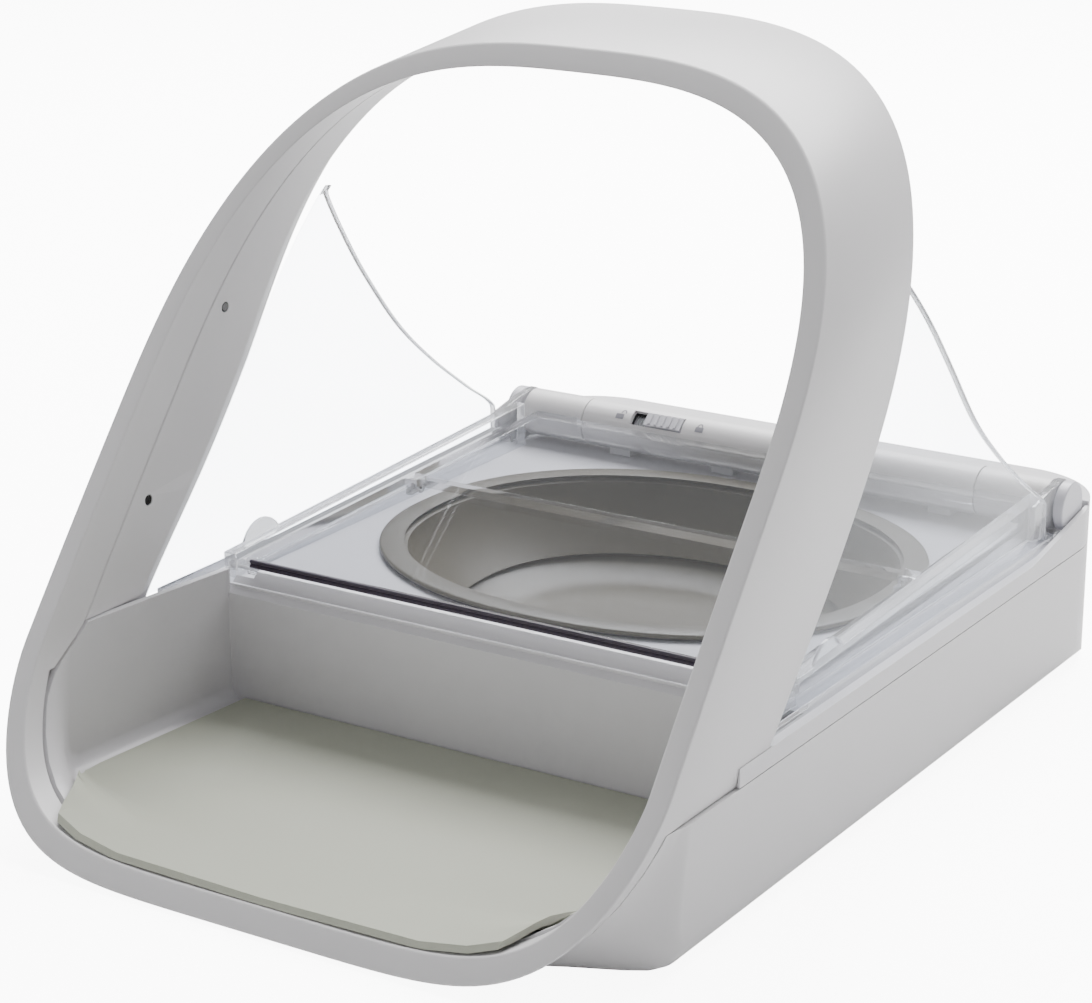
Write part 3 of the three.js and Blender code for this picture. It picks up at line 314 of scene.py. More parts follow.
def close_up(mesh, merge_mm=0.002):
    """Merges points that coincide and turns every face outwards."""
    work = bmesh.new()
    work.from_mesh(mesh)
    bmesh.ops.remove_doubles(work, verts=work.verts, dist=merge_mm * MM)
    bmesh.ops.recalc_face_normals(work, faces=work.faces)
    work.to_mesh(mesh)
    work.free()


print("skins can be drawn")

# %% [markdown]
# Where the CAD shape is already right, a copy of the node is softened. Its triangles are merged
# first, because they are loose, and flat neighbours become one face. Then its sharp edges get a
# small bevel, which catches a highlight as a moulded edge does.


# %% Softened copies of CAD nodes
def baked(obj):
    """The object's mesh with its modifiers applied."""
    graph = bpy.context.evaluated_depsgraph_get()
    return bpy.data.meshes.new_from_object(obj.evaluated_get(graph))


def softened(node, finish, edge_mm=0.4, segments=2, rim_mm2=60.0):
    """A copy of a CAD node with its flat facets joined and its sharp edges rounded."""
    work = bmesh.new()
    work.from_mesh(NODES[node].data)
    bmesh.ops.remove_doubles(work, verts=work.verts, dist=0.003 * MM)
    bmesh.ops.dissolve_limit(work, angle_limit=radians(0.6), verts=work.verts, edges=work.edges)
    mesh = bpy.data.meshes.new(node)
    work.to_mesh(mesh)
    work.free()
    mesh.shade_smooth()
    draft = bpy.data.objects.new(node + "_draft", mesh)
    bpy.context.scene.collection.objects.link(draft)
    bevel = draft.modifiers.new("soft_edges", "BEVEL")
    bevel.width = edge_mm * MM
    bevel.segments = segments
    bevel.limit_method = "ANGLE"
    bevel.angle_limit = radians(38)
    level = draft.modifiers.new("flat_faces", "WEIGHTED_NORMAL")
    level.mode = "FACE_AREA"
    level.weight = 100
    result = baked(draft)
    bpy.data.objects.remove(draft)
    return piece(node + "_finish", result, finish, BODY_OF[node], (node,), None, rim_mm2)


print("CAD nodes can be softened")


# %% Smooth curves
def smooth_curve(points, steps=80):
    """v for any u, on the same smooth curve through a few [u, v] points that the CAD uses."""
    points = np.array(points, float)
    last = len(points) - 1
    dense = []
    for k in range(steps + 1):
        t = last * k / steps
        i = min(int(t), last - 1) if t < last else last - 1
        w = t - i
        a, b, c, d = points[max(i - 1, 0)], points[i], points[i + 1], points[min(i + 2, last)]
        if i == 0:
            a = b
        if i + 2 > last:
            d = points[last]
        v0, v1 = (c - a) / 2, (d - b) / 2
        cubic, square = 2 * b - 2 * c + v0 + v1, -3 * b + 3 * c - 2 * v0 - v1
        dense.append(cubic * w ** 3 + square * w * w + v0 * w + b)
    dense = np.array(dense)
    return lambda u: float(np.interp(u, dense[:, 0], dense[:, 1]))


print("smooth curves ready")

# %% [markdown]
# ## The hoop
# The hoop is one continuous band. Its front edge is a rounded rectangle, wide and soft at the
# crown and tighter at the floor, and it leans back along a gentle curve. The band is about 60 mm
# deep and tilts up a little at the crown. The front moulding wraps round the edge, and a second
# skin closes the inside over the antenna. A subdivided box could be pulled to this shape, but the
# outline follows a rule, four superellipse quarters, so both skins are lofted from the rule that
# the CAD uses, with many more stations and with rounded rims.

# %% Hoop outline and lean
# HALF is half the feeder's width. The outline stands FLOOR_GAP off the floor, is straight between
# CORNER_TOP and CROWN_FROM, and ends at FRONT_HIGH. BAND is the thickness across both skins, SKIN
# one wall and FACE the front wall. The front moulding is RIM deep on the inside at the floor and
# LIP deep above TRAY_TOP. Below SEAM the whole band is only RIM deep, and the base stands behind.
HALF = 106.0
FLOOR_GAP = 0.8
BAND, SKIN, FACE = 6.3, 2.2, 2.5
RIM, LIP = 8.0, 18.0
SEAM, TRAY_TOP, GAP = 40.4, 51.0, 0.3
REAR_SLANT, CROWN_FROM, FRONT_HIGH, CORNER_TOP = 13.0, 110.0, 209.0, 50.0
CROWN_RISE = 0.11
LOWER_POWERS, UPPER_POWERS = (5.46, 1.65), (2.96, 2.63)
hoop_depth = smooth_curve([[0, 52], [48, 56], [85, 61], [120, 60], [165, 52.5], [FRONT_HIGH, 47.5]])


def front_line(z):
    """How far back the hoop's front face is at a height: a lean with a slight curve."""
    return -162.5 + 0.7168 * z + 0.000396 * z * z


def quarter(centre_z, reach, powers, steps=240):
    """A quarter of a superellipse, as (x, z), from the side to the centre line."""
    a = np.linspace(0, pi / 2, steps + 1)
    x = HALF * np.abs(np.cos(a)) ** (2 / powers[0])
    z = centre_z + reach * np.sin(a) ** (2 / powers[1])
    x[-1] = 0
    return np.stack([x, z], 1)


# %% Stations round the hoop
lower = quarter(CORNER_TOP, FLOOR_GAP - CORNER_TOP, LOWER_POWERS)[::-1]
upper = quarter(CROWN_FROM, FRONT_HIGH - CROWN_FROM, UPPER_POWERS)
HALF_PATH = np.vstack([lower, upper])
half_run = np.concatenate([[0], np.cumsum(np.hypot(*np.diff(HALF_PATH, axis=0).T))])


def side_at(z):
    """Half width of the hoop's outer skin at a height."""
    return float(np.interp(z, HALF_PATH[:, 1], HALF_PATH[:, 0]))


def hoop_stations(count=240):
    """(x, z, inward x, inward z) round the outline, starting at the bottom centre."""
    s = np.linspace(0, half_run[-1], count // 2 + 1)
    right = np.stack([np.interp(s, half_run, HALF_PATH[:, 0]), np.interp(s, half_run, HALF_PATH[:, 1])], 1)
    cut = np.searchsorted(right[:, 1], SEAM + GAP / 2)
    right = np.insert(right, cut, [[side_at(SEAM + GAP / 2), SEAM + GAP / 2]], axis=0)
    left = right[1:-1][::-1] * [-1, 1]
    path = np.vstack([right, left])
    along = np.roll(path, -1, axis=0) - np.roll(path, 1, axis=0)
    inward = np.stack([-along[:, 1], along[:, 0]], 1) / np.hypot(*along.T)[:, None]
    return np.hstack([path, inward])


STATIONS = hoop_stations()
print("hoop outline:", len(STATIONS), "stations, half path", round(half_run[-1], 1), "mm")


# %% Points and depths of the hoop's band
def hoop_point(station, inset, depth):
    """A point of the hoop, inset from its outline and some way behind its front face."""
    x, z, nx, nz = station
    rise = CROWN_RISE * max(0.0, (z - CROWN_FROM) / (FRONT_HIGH - CROWN_FROM)) * depth
    return (x + nx * inset, front_line(z + nz * inset) + depth, z + nz * inset + rise)


def rear_depth(z, inset):
    """The band's depth, which is less on the inside because its rear face slants."""
    return hoop_depth(z) - REAR_SLANT * inset / BAND


def lip_depth(z):
    """Where the front moulding ends on the inside: it grows deeper just above the tray."""
    t = min(1, max(0, (z - (SEAM - 4)) / (TRAY_TOP - SEAM + 4)))
    return RIM + (LIP - RIM) * t * t * (3 - 2 * t)


print("band", round(hoop_depth(85), 1), "mm deep at its deepest")


# %% Hoop shell
def arc(cu, cv, radius, start_deg, end_deg, steps=5):
    """Points of a corner radius in (inset, depth)."""
    angles = [radians(start_deg + (end_deg - start_deg) * k / steps) for k in range(steps + 1)]
    return [(cu + radius * cos(a), cv + radius * sin(a)) for a in angles]


def shell_section(z, above_seam):
    """The front moulding's cross-section as (inset, depth), with its three edge radii."""
    outer, inner, back = 0.7, 0.6, 0.5
    rear = hoop_depth(z) if above_seam else RIM
    slant = REAR_SLANT / BAND if above_seam else 0.0
    lip = lip_depth(z) if above_seam else RIM
    return [
        *arc(outer, outer, outer, 180, 270),
        *arc(BAND - inner, inner, inner, 270, 360),
        (BAND, lip - 0.4), (BAND - 0.4, lip), (BAND - SKIN, lip), (BAND - SKIN, FACE), (SKIN, FACE),
        (SKIN, rear - slant * SKIN), (back, rear - slant * back), (0.15, rear - 0.45), (0, rear - 0.9),
    ]


hoop_sections = []
for station in STATIONS:
    z = station[1]
    on_seam = abs(z - SEAM - GAP / 2) < 1e-6
    kinds = [z > SEAM + GAP / 2] if not on_seam else [False, True] if station[0] > 0 else [True, False]
    for above in kinds:
        hoop_sections.append([hoop_point(station, u, d) for u, d in shell_section(z, above)])
hoop_mesh = skin_mesh("hoop_shell_moulding", hoop_sections, ring=True)
piece("hoop_shell_moulding", hoop_mesh, WHITE, "base", ("hoop_shell",), crisp_deg=30)
print("hoop shell:", len(hoop_mesh.polygons), "faces")

# %% [markdown]
# The inner cover starts behind the front moulding's lip, so a fine parting line shows on the
# inside of the hoop. It turns outwards at the back in a slanted face. Small dark windows for the
# beam that sees the pet sit flush in it. A dark disc laid on the skin would look painted on, so the
# cover gets four round holes by a boolean cut, and each window is a short rod in its hole.

# %% Hoop inner cover
def cover_section(z):
    """The cover's cross-section as (inset, depth)."""
    lip = lip_depth(z) + GAP
    inner = BAND - SKIN
    return [
        (BAND, lip + 0.3), (BAND, rear_depth(z, BAND) - 1.2), (BAND - 0.15, rear_depth(z, BAND) - 0.4),
        (BAND - 0.6, rear_depth(z, BAND - 0.6)), (SKIN + GAP, rear_depth(z, SKIN + GAP)),
        (SKIN + GAP, rear_depth(z, SKIN + GAP) - SKIN), (inner, rear_depth(z, inner) - SKIN),
        (inner, lip), (BAND - 0.3, lip),
    ]


cover_foot = TRAY_TOP + GAP
foot_station = [side_at(cover_foot), cover_foot, -1.0, 0.0]
above = [s for s in STATIONS if s[1] > cover_foot + 0.5]
cover_path = [foot_station, *above, [-foot_station[0], cover_foot, 1.0, 0.0]]
cover_mesh = skin_mesh("hoop_inner_cover_moulding",
                       [[hoop_point(s, u, d) for u, d in cover_section(s[1])] for s in cover_path])
print("cover skin:", len(cover_path), "stations")

# %% Window holes
WINDOWS = {"upper": (-37.9, 129.1), "lower": (-76.3, 79.3)}
HOLE_R, LENS_R, LENS_LONG = 1.7, 1.5, 2.0


def rod_mesh(name, x0, x1, y, z, radius, sides=32, edge=0.0):
    """A solid rod along X, with a small chamfer at each end."""
    rings = [(x0, radius - edge), (x0 + edge, radius), (x1 - edge, radius), (x1, radius - edge)]
    if not edge:
        rings = [rings[0], rings[3]]
    sections = [[(x, y + r * cos(2 * pi * k / sides), z + r * sin(2 * pi * k / sides)) for k in range(sides)]
                for x, r in rings]
    return skin_mesh(name, sections)


def cut_with(mesh, tool_meshes, name="cut"):
    """The mesh with each tool mesh taken away."""
    target = bpy.data.objects.new(name, mesh)
    bpy.context.scene.collection.objects.link(target)
    tools = []
    for k, tool_mesh in enumerate(tool_meshes):
        tool = bpy.data.objects.new(f"{name}_tool_{k}", tool_mesh)
        bpy.context.scene.collection.objects.link(tool)
        modifier = target.modifiers.new(f"cut_{k}", "BOOLEAN")
        modifier.object = tool
        modifier.solver = "EXACT"
        tools.append(tool)
    result = baked(target)
    for obj in (target, *tools):
        bpy.data.objects.remove(obj)
    return result


holes = [rod_mesh("hole", *sorted((side * 90, side * 110)), y, z, HOLE_R)
         for side in SIDES.values() for y, z in WINDOWS.values()]
cover_mesh = cut_with(cover_mesh, holes, "cover")
piece("hoop_inner_cover_moulding", cover_mesh, WHITE, "base", ("hoop_inner_cover",), crisp_deg=30)
print("hoop cover:", len(cover_mesh.polygons), "faces")

# %% Sensor windows
for side_name, side in SIDES.items():
    for level, (y, z) in WINDOWS.items():
        inner = side * (side_at(z) - BAND)
        lens = rod_mesh("lens", *sorted((inner, inner + side * LENS_LONG)), y, z, LENS_R, 28, 0.25)
        node = f"sensor_window_{level}_{side_name}"
        piece(node + "_lens", lens, BLACK, "base", (node,))
print("four sensor windows")

# %% [markdown]
# ## Side screens
# Two clear wings stand on the rails and close the sides between the hoop and the hinge. Their
# outer face follows the hoop's outline, so they lean inwards near the top, and their free edge
# sweeps down in a shallow curve. A flat sheet with Solidify could not follow both the lean and the
# hoop's rear edge, so they are lofted upwards, level by level, with a rounded free edge.

# %% Side screens
SCREEN_BASE, SCREEN_TOP, SCREEN_REAR, SCREEN_WALL = 49.6, 157.0, 111.0, 2.0
screen_edge = smooth_curve([
    [SCREEN_BASE, SCREEN_REAR], [61, SCREEN_REAR], [72, 95], [86, 75], [102, 56], [122.5, 38], [140, 24],
    [SCREEN_TOP, 10],
])


def screen_section(z, side):
    """A screen's cross-section at a height: its front edge keeps clear of the hoop's cover."""
    outer = side_at(z) - SKIN - 2 * GAP
    back = min(screen_edge(z), SCREEN_REAR)
    rise_room = 1.3 + 0.05 * max(0, z - CROWN_FROM)
    front = {d: front_line(z) + rear_depth(z, SKIN + 2 * GAP + d) + rise_room for d in (0, SCREEN_WALL)}
    back = max(back, front[0] + 1.2)
    r = SCREEN_WALL / 2
    nose = [(r - r * cos(a), back - r + r * sin(a)) for a in np.linspace(0, pi, 7)]
    outline = [(0, front[0]), *nose, (SCREEN_WALL, front[SCREEN_WALL])]
    return [(side * (outer - d), y, z) for d, y in outline]


for side_name, side in SIDES.items():
    levels = np.concatenate([np.linspace(SCREEN_BASE, 72, 18), np.linspace(73, SCREEN_TOP, 60)])
    wing = skin_mesh("wing", [screen_section(z, side) for z in levels])
    piece(f"side_screen_{side_name}_clear", wing, CLEAR, "base", (f"side_screen_{side_name}",),
          crisp_deg=40, rim_mm2=4.0)
print("two side screens,", SCREEN_TOP - SCREEN_BASE, "mm tall")

# %% [markdown]
# ## Base, tray and rails
# The two base shells, the tray and the clear rails have flat sides and real corners, and the CAD
# already has their shapes right, so they are not drawn again. A copy of each node has its flat
# facets joined and its sharp edges rounded, as a mould tool leaves them, and then stands for the
# node. Weighted normals keep the wide faces flat beside the small rounded ones.

# %% Base mouldings
softened("base_lower_shell", WHITE, 0.5)
softened("base_upper_shell", DECK, 0.5)
softened("tray_mat", MAT, 0.25)
for side_name in SIDES:
    softened(f"lid_rail_{side_name}", CLEAR, 0.3, rim_mm2=800)
    softened(f"battery_door_{side_name}", WHITE, 0.3)
    softened(f"hinge_end_cap_{side_name}", GREY, 0.5, 3)
    softened(f"hinge_sleeve_{side_name}", WHITE, 0.3)
softened("hinge_barrel_housing", WHITE, 0.3)
softened("lock_slider", GREY, 0.15)
for node in ("add_pet_button", "open_close_button"):
    softened(node, GREY, 0.5, 3)
print("base mouldings softened")

# %% [markdown]
# ## Bowl
# The bowl lifts out by its wide rim. It is a rounded oval, a superellipse with power 2.2. A spun
# profile could only be round, so it is drawn as rings from the outside of its base, up the wall,
# over the rim and down inside. The corner at the foot of the inner wall is generous, so that food
# can be wiped out.

# %% Bowl
BOWL_X, BOWL_Y, BOWL_CENTRE, BOWL_RIM_Z, BOWL_FOOT = 86.5, 73.3, 44.5, 48.3, 17.0


def oval(half_x, half_y, z, steps=144, power=2.2):
    angles = np.linspace(0, 2 * pi, steps, endpoint=False)
    c, s = np.cos(angles), np.sin(angles)
    x = half_x * np.sign(c) * np.abs(c) ** (2 / power)
    y = BOWL_CENTRE + half_y * np.sign(s) * np.abs(s) ** (2 / power)
    return [(a, b, z) for a, b in zip(x, y)]


def bowl_rings():
    """The bowl's rings, each an inset from the rim's outline and a height. A wall draws in by up to
    a third towards its foot."""
    rings = []

    def ring(inset, z, shrink=0.0):
        rings.append(oval((BOWL_X - inset) * (1 - shrink), (BOWL_Y - inset) * (1 - shrink), z))

    def wall(inset, z, foot, top):
        t = (z - foot) / (top - foot)
        ring(inset, z, 0.32 * (1 - t) ** 1.6)

    wall(8.5, BOWL_FOOT, BOWL_FOOT, BOWL_RIM_Z)
    wall(6.6, BOWL_FOOT + 0.5, BOWL_FOOT, BOWL_RIM_Z)
    for z in np.linspace(BOWL_FOOT + 1.5, BOWL_RIM_Z - 1.6, 14):
        wall(6, z, BOWL_FOOT, BOWL_RIM_Z)
    ring(5.5, BOWL_RIM_Z - 1.5)
    ring(0.6, BOWL_RIM_Z - 1.5)
    for a in np.linspace(-60, 90, 6):
        ring(0.75 - 0.75 * cos(radians(a)), BOWL_RIM_Z - 0.75 + 0.75 * sin(radians(a)))
    ring(6.6, BOWL_RIM_Z)
    for a in np.linspace(75, 0, 6):
        ring(8.0 - 1.4 * cos(radians(a)), BOWL_RIM_Z - 1.4 + 1.4 * sin(radians(a)))
    floor = BOWL_FOOT + 2
    for z in np.linspace(BOWL_RIM_Z - 2, floor + 7, 12):
        wall(8, z, floor, BOWL_RIM_Z + 1)
    for a in np.linspace(8, 90, 9):
        t = radians(a)
        wall(8 + 12 * (1 - cos(t)), floor + 7 * (1 - sin(t)), floor - 3, BOWL_RIM_Z + 1)
    return rings


bowl_mesh = skin_mesh("bowl_polished", bowl_rings())
piece("bowl_polished", bowl_mesh, BOWL, BODY_OF["bowl"], ("bowl",), crisp_deg=50)
NODES["bowl_gasket"].data.materials[0] = DARK_SEAL_AND_PAINTED_SHADE
print("bowl:", len(bowl_mesh.polygons), "faces")

# %% [markdown]
# ## Lid
# The lid is two clear panels of equal length. The rear one turns with the end sleeves of the
# barrel, and the front one folds under it while its guide pins run in the rails. Each panel is
# the CAD shape with rounded edges. The front edge carries a soft seal: a dark lip with two
# beads, held in a clear channel. The lip's dark colour is painted shade, for the dark look of the
# clear plastic's front edge. It has one cross-section all along, so it is drawn as two sections
# with a skin between them.

# %% Lid panels
softened("lid_front_panel", CLEAR, 0.3, rim_mm2=700)
softened("lid_rear_panel", CLEAR, 0.3, rim_mm2=700)
for side_name in SIDES:
    NODES[f"guide_pin_{side_name}"].data.materials[0] = RIM_LIT
    NODES[f"fold_hinge_pin_{side_name}"].data.materials[0] = STEEL
    NODES[f"hinge_shaft_{side_name}"].data.materials[0] = STEEL

print("two lid panels")

# %% Lid seal
HINGE = Vector((0, 129.0, 55.5))
GUIDE = Vector((0, -41.0, 50.0))
LID_RUN = hypot(HINGE.y - GUIDE.y, HINGE.z - GUIDE.z)
LID_TILT = atan2(HINGE.z - GUIDE.z, HINGE.y - GUIDE.y)


def on_lid(x, along, up):
    """A point of the shut lid: along runs forwards from the rear hinge, up stands off the panels."""
    y = HINGE.y - along * cos(LID_TILT) - up * sin(LID_TILT)
    z = HINGE.z - along * sin(LID_TILT) + up * cos(LID_TILT)
    return (x, y, z)


def strip_mesh(name, outline, x0, x1):
    """A moulding with one cross-section (along, up), drawn straight across the lid."""
    return skin_mesh(name, [[on_lid(x, a, u) for a, u in outline] for x in (x0, x1)])


SEAL_HALF, PANEL_NOSE = 89.0, 1.3
seal_start = LID_RUN + PANEL_NOSE + GAP


def bead(up):
    """A half-round bead on the seal's front, some way up it."""
    return [(seal_start + 0.5 + 0.5 * cos(a), up + 0.55 * sin(a)) for a in np.linspace(-pi / 2, pi / 2, 8)]


seal_outline = [(seal_start, 0.42), *bead(1.0), *bead(2.5), (seal_start, 3.05)]
# The seal lip's dark colour is painted shade: it stands in for the dark look of the clear lid's front edge.
seal_mesh = strip_mesh("lid_front_seal_lip_painted_shade", seal_outline, -SEAL_HALF, SEAL_HALF)
piece("lid_front_seal_lip_painted_shade", seal_mesh, DARK_SEAL_AND_PAINTED_SHADE, "lid_front", ("lid_front_seal",), crisp_deg=50)
print("lid", round(LID_RUN, 1), "mm long, seal", 2 * SEAL_HALF, "mm wide")

# %% [markdown]
# ## Marks on the barrel
# Two small padlock symbols, shut and open, say which way to push the lock slider. They are
# generic signs, pad-printed on the round barrel. Each is a thin film of ink bent round the barrel.
# It is built from short strips, because a flat film would cut through the curve.

# %% Padlock symbols
BARREL_R, SLIDER_TILT = 8.0, 48.0
FILM_UNDER, FILM_TOP = 0.02, 0.07
OPEN_SIGN_X, SHUT_SIGN_X = -59.0, -28.0


def on_barrel(x, v, lift):
    """A point on the barrel's surface: v is the distance round it, upwards from the slider's line."""
    angle = radians(SLIDER_TILT) + v / BARREL_R
    r = BARREL_R + lift
    return (x, HINGE.y - r * cos(angle), HINGE.z + r * sin(angle))


def film(pairs):
    """A thin film between pairs of (x, v) points, each pair one section across the ink."""
    sections = [[on_barrel(*p, FILM_UNDER), on_barrel(*q, FILM_UNDER),
                 on_barrel(*q, FILM_TOP), on_barrel(*p, FILM_TOP)] for p, q in pairs]
    return skin_mesh("film", sections)


def padlock(centre_x, swung):
    """The films of one symbol: a body and a shackle, which is swung aside and up when open."""
    aside, up = (1.1, 0.4) if swung else (0.0, 0)
    body = film([((centre_x - 1.5, v), (centre_x + 1.5, v)) for v in np.linspace(-1.6, 0.3, 5)])
    shackle = film([((centre_x + aside + 1.0 * cos(a), 0.3 + 1.5 * sin(a) + up),
                     (centre_x + aside + 0.62 * cos(a), 0.3 + 1.1 * sin(a) + up))
                    for a in np.linspace(0, pi, 13)])
    return [body, shackle]


def joined(name, meshes):
    """One mesh from several."""
    work = bmesh.new()
    for mesh in meshes:
        work.from_mesh(mesh)
    result = bpy.data.meshes.new(name)
    work.to_mesh(result)
    work.free()
    return result


signs = padlock(OPEN_SIGN_X, True) + padlock(SHUT_SIGN_X, False)
piece("padlock_symbols", joined("padlocks", signs), PRINT, "base")
print("two padlock symbols")

# %% [markdown]
# ## Parts that repeat
# The case screws, and the coil springs on the battery contacts, are the same shape at several
# places. Copies by hand would have to be moved one by one, so Geometry Nodes put one shape at each
# point of a small guide mesh, whose points come from the CAD nodes' boxes. The modifier's result
# is turned into a plain mesh, and the modifier goes, before the piece joins the model.

# %% Repeats by Geometry Nodes
def guide_points(name, points):
    """An object with one point at each place, in millimetres."""
    mesh = bpy.data.meshes.new(name)
    mesh.from_pydata([Vector(p) * MM for p in points], [], [])
    obj = bpy.data.objects.new(name, mesh)
    bpy.context.scene.collection.objects.link(obj)
    return obj


def grown(guide, tree, sizes):
    """The plain mesh that a node tree makes on a guide object, with its named sizes in metres."""
    modifier = guide.modifiers.new("grow", "NODES")
    modifier.node_group = tree
    for item in tree.interface.items_tree:
        if item.item_type == "SOCKET" and item.in_out == "INPUT" and item.name in sizes:
            modifier[item.identifier] = sizes[item.name]
    mesh = baked(guide)
    bpy.data.objects.remove(guide)
    return mesh


def new_tree(name, sizes):
    """A Geometry Nodes tree with a named input for each size, and its input node."""
    tree = bpy.data.node_groups.new(name, "GeometryNodeTree")
    tree.interface.new_socket("Geometry", in_out="INPUT", socket_type="NodeSocketGeometry")
    for size, value in sizes.items():
        socket = tree.interface.new_socket(size, in_out="INPUT", socket_type="NodeSocketFloat")
        socket.default_value = value
    tree.interface.new_socket("Geometry", in_out="OUTPUT", socket_type="NodeSocketGeometry")
    return tree, add(tree, "NodeGroupInput")


def end_tree(tree, placed, material):
    """Turns the placed copies into real geometry and paints them."""
    real = add(tree, "GeometryNodeRealizeInstances", links={"Geometry": placed})
    painted = add(tree, "GeometryNodeSetMaterial", {"Material": material}, {"Geometry": real.outputs[0]})
    add(tree, "NodeGroupOutput", links={0: painted.outputs[0]})


print("trees can grow on guide points")

# %% Contact springs by Geometry Nodes
springs, given = new_tree("contact_springs",
                          {"Spring radius": 4 * MM, "Wire radius": 0.35 * MM, "Height": 2.4 * MM})
spiral = add(springs, "GeometryNodeCurveSpiral", {"Resolution": 20, "Rotations": 3.0},
             {"Start Radius": given.outputs["Spring radius"], "Height": given.outputs["Height"]})
springs.links.new(given.outputs["Spring radius"], spiral.inputs["End Radius"])
wire = add(springs, "GeometryNodeCurvePrimitiveCircle", {"Resolution": 8},
           {"Radius": given.outputs["Wire radius"]})
coil = add(springs, "GeometryNodeCurveToMesh", {"Fill Caps": True},
           {"Curve": spiral.outputs[0], "Profile Curve": wire.outputs[0]})
laid = add(springs, "GeometryNodeInstanceOnPoints", {"Rotation": (-pi / 2, 0, 0)},
           {"Points": given.outputs["Geometry"], "Instance": coil.outputs[0]})
end_tree(springs, laid.outputs[0], STEEL)

def middle(node):
    """The middle of a CAD node's box, in millimetres."""
    low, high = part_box(node)
    return (low + high) / 2 / MM


for side_name in SIDES:
    plate = f"battery_contact_front_{side_name}"
    spring_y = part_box(plate)[1].y / MM + 0.4
    xs = [middle(f"battery_cell_{which}_{side_name}").x for which in ("inner", "outer")]
    guide = guide_points("spring_places", [(x, spring_y, middle(plate).z) for x in xs])
    piece(f"contact_springs_{side_name}", grown(guide, springs, {"Height": 2.3 * MM}), STEEL, "base")
print("four contact springs")

# %% Screw heads by Geometry Nodes
heads, given = new_tree("case_screw_heads", {"Head radius": 2.7 * MM, "Head height": 0.9 * MM})
disc = add(heads, "GeometryNodeMeshCylinder", {"Vertices": 24},
           {"Radius": given.outputs["Head radius"], "Depth": given.outputs["Head height"]})
blade_long = add(heads, "GeometryNodeMeshCube", {"Size": (3.4 * MM, 0.7 * MM, 1.2 * MM)})
blade_cross = add(heads, "GeometryNodeMeshCube", {"Size": (0.7 * MM, 3.4 * MM, 1.2 * MM)})
recess = add(heads, "GeometryNodeMeshBoolean", {"operation": "DIFFERENCE"}, {0: disc.outputs[0]})
for blade in (blade_long, blade_cross):
    lowered = add(heads, "GeometryNodeTransform", {"Translation": (0, 0, -0.6 * MM)},
                  {"Geometry": blade.outputs[0]})
    heads.links.new(lowered.outputs[0], recess.inputs[1])
set_heads = add(heads, "GeometryNodeInstanceOnPoints",
                links={"Points": given.outputs["Geometry"], "Instance": recess.outputs[0]})
end_tree(heads, set_heads.outputs[0], STEEL)
places = []
for end in ("front", "rear"):
    for side_name in SIDES:
        screw = f"case_screw_{end}_{side_name}"
        centre = middle(screw)
        places.append((centre.x, centre.y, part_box(screw)[0].z / MM - 0.5))
piece("case_screw_heads", grown(guide_points("screw_places", places), heads, {}), STEEL, "base")
print(len(places), "screw heads")

# %% [markdown]
# ## Inner parts
# The motor, the boards, the cells and the antenna are hidden in the shells. They keep their CAD
# shapes, because those are plain, but the feeder may be taken apart or cut open in another scene,
# so each gets its real finish.

# %% Finishes of the inner parts
FINISHES = {
    "antenna_coil": COPPER, "hinge_motor": STEEL, "motor_gearbox": STEEL, "shaft_bush": GREY,
    "main_board": BOARD, "button_board": BOARD, "sounder": BLACK, "status_light_pipe": LIGHT,
}
for side_name in SIDES:
    FINISHES[f"sensor_board_{side_name}"] = BOARD
    for end in ("front", "rear"):
        FINISHES[f"battery_contact_{end}_{side_name}"] = BRASS
        FINISHES[f"foot_{end}_{side_name}"] = FOOT
        FINISHES[f"case_screw_{end}_{side_name}"] = STEEL
    for which in ("inner", "outer"):
        FINISHES[f"battery_cell_{which}_{side_name}"] = JACKET
for node, material in FINISHES.items():
    NODES[node].data.materials[0] = material
print(len(FINISHES), "inner parts finished")

# %% [markdown]
# ## Studio
# The floor is plain and pale. It glows a little for the camera alone, so that it stays near white
# and the clear parts stand against it, while the glow lights nothing. A broad soft light hangs
# above and behind the feeder, so the tops are brightest and the face of the hoop falls into soft
# shade. A weak one in front opens the shadows, and the world fills the rest.

# %% Floor
bpy.ops.mesh.primitive_plane_add(size=12)
floor = bpy.context.object
floor.name = "studio_floor"
paper, tree = new_material("paper_backdrop")
place = add(tree, "ShaderNodeTexCoord").outputs["Object"]
fibres = add(tree, "ShaderNodeTexNoise", {"Scale": 300.0}, {"Vector": place})
tone = add(tree, "ShaderNodeMix", {"data_type": "RGBA", 6: linear("FBFBFB"), 7: linear("F7F7F7")},
           {0: fibres.outputs["Fac"]})
sheet = add(tree, "ShaderNodeBsdfPrincipled", {"Roughness": 0.9, "Specular IOR Level": 0.1},
            {"Base Color": tone.outputs[2]})
glow = add(tree, "ShaderNodeEmission", {"Strength": 9.0}, {"Color": tone.outputs[2]})
seen = add(tree, "ShaderNodeLightPath")
lit_sheet = add(tree, "ShaderNodeAddShader", links={0: sheet.outputs[0], 1: glow.outputs[0]})
shown = add(tree, "ShaderNodeMixShader",
            links={0: seen.outputs["Is Camera Ray"], 1: sheet.outputs[0], 2: lit_sheet.outputs[0]})
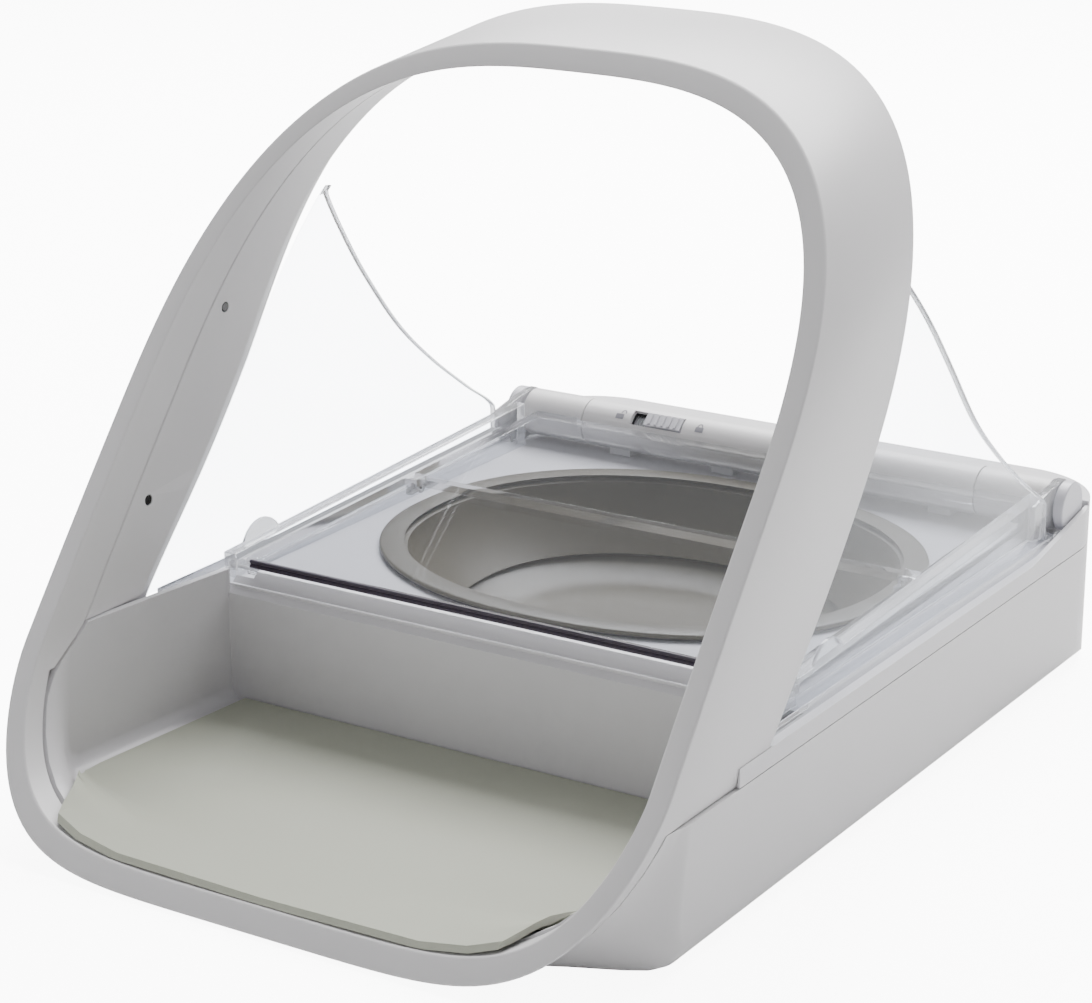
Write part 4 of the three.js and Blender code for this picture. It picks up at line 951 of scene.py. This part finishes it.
add(tree, "ShaderNodeOutputMaterial", links={"Surface": shown.outputs[0]})
floor.data.materials.append(paper)
print("floor laid")


# %% Lights
def soft_light(name, place, size, watts, target=(0, 0, 0.08)):
    """A rectangular area light that faces the middle of the feeder, in metres."""
    lamp = bpy.data.lights.new(name, "AREA")
    lamp.shape = "RECTANGLE"
    lamp.size, lamp.size_y = size
    lamp.energy = watts
    obj = bpy.data.objects.new(name, lamp)
    obj.location = place
    obj.rotation_euler = (Vector(target) - Vector(place)).to_track_quat("-Z", "Y").to_euler()
    bpy.context.scene.collection.objects.link(obj)
    return obj


soft_light("overhead_softbox", (-0.2, 0.95, 1.35), (1.5, 1.1), 92)
soft_light("front_softbox", (-0.9, -1.5, 0.5), (1.0, 0.8), 3)
world = bpy.data.worlds.new("studio_world")
world.use_nodes = True
world.node_tree.nodes["Background"].inputs["Color"].default_value = linear("F4F6F8")
world.node_tree.nodes["Background"].inputs["Strength"].default_value = 0.45
bpy.context.scene.world = world
print("studio lit")

# %% [markdown]
# ## Camera
# The camera stands to the right of the feeder and a little above it, with a long lens, so that
# the hoop, the tray and the lid all show. Its axes are built from the two angles and a slight
# roll, and a small shift of the lens sets the framing without turning the camera.

# %% Camera
AZIMUTH, ELEVATION, ROLL = radians(32.7576), radians(18.6925), radians(-0.2109)
right = Vector((cos(AZIMUTH), sin(AZIMUTH), 0))
back = Vector((sin(AZIMUTH) * cos(ELEVATION), -cos(AZIMUTH) * cos(ELEVATION), sin(ELEVATION)))
turn = Matrix((right, back.cross(right), back)).transposed() @ Matrix.Rotation(ROLL, 3, "Z")
lens = bpy.data.cameras.new("camera")
lens.lens, lens.sensor_width = 99.31, 36.0
lens.shift_x, lens.shift_y = 0.0121, 0.0232
camera = bpy.data.objects.new("camera", lens)
camera.matrix_world = Matrix.Translation((0.4481, -0.7200, 0.3540)) @ turn.to_4x4()
bpy.context.scene.collection.objects.link(camera)
bpy.context.scene.camera = camera
print("camera at", [round(v, 3) for v in camera.location])
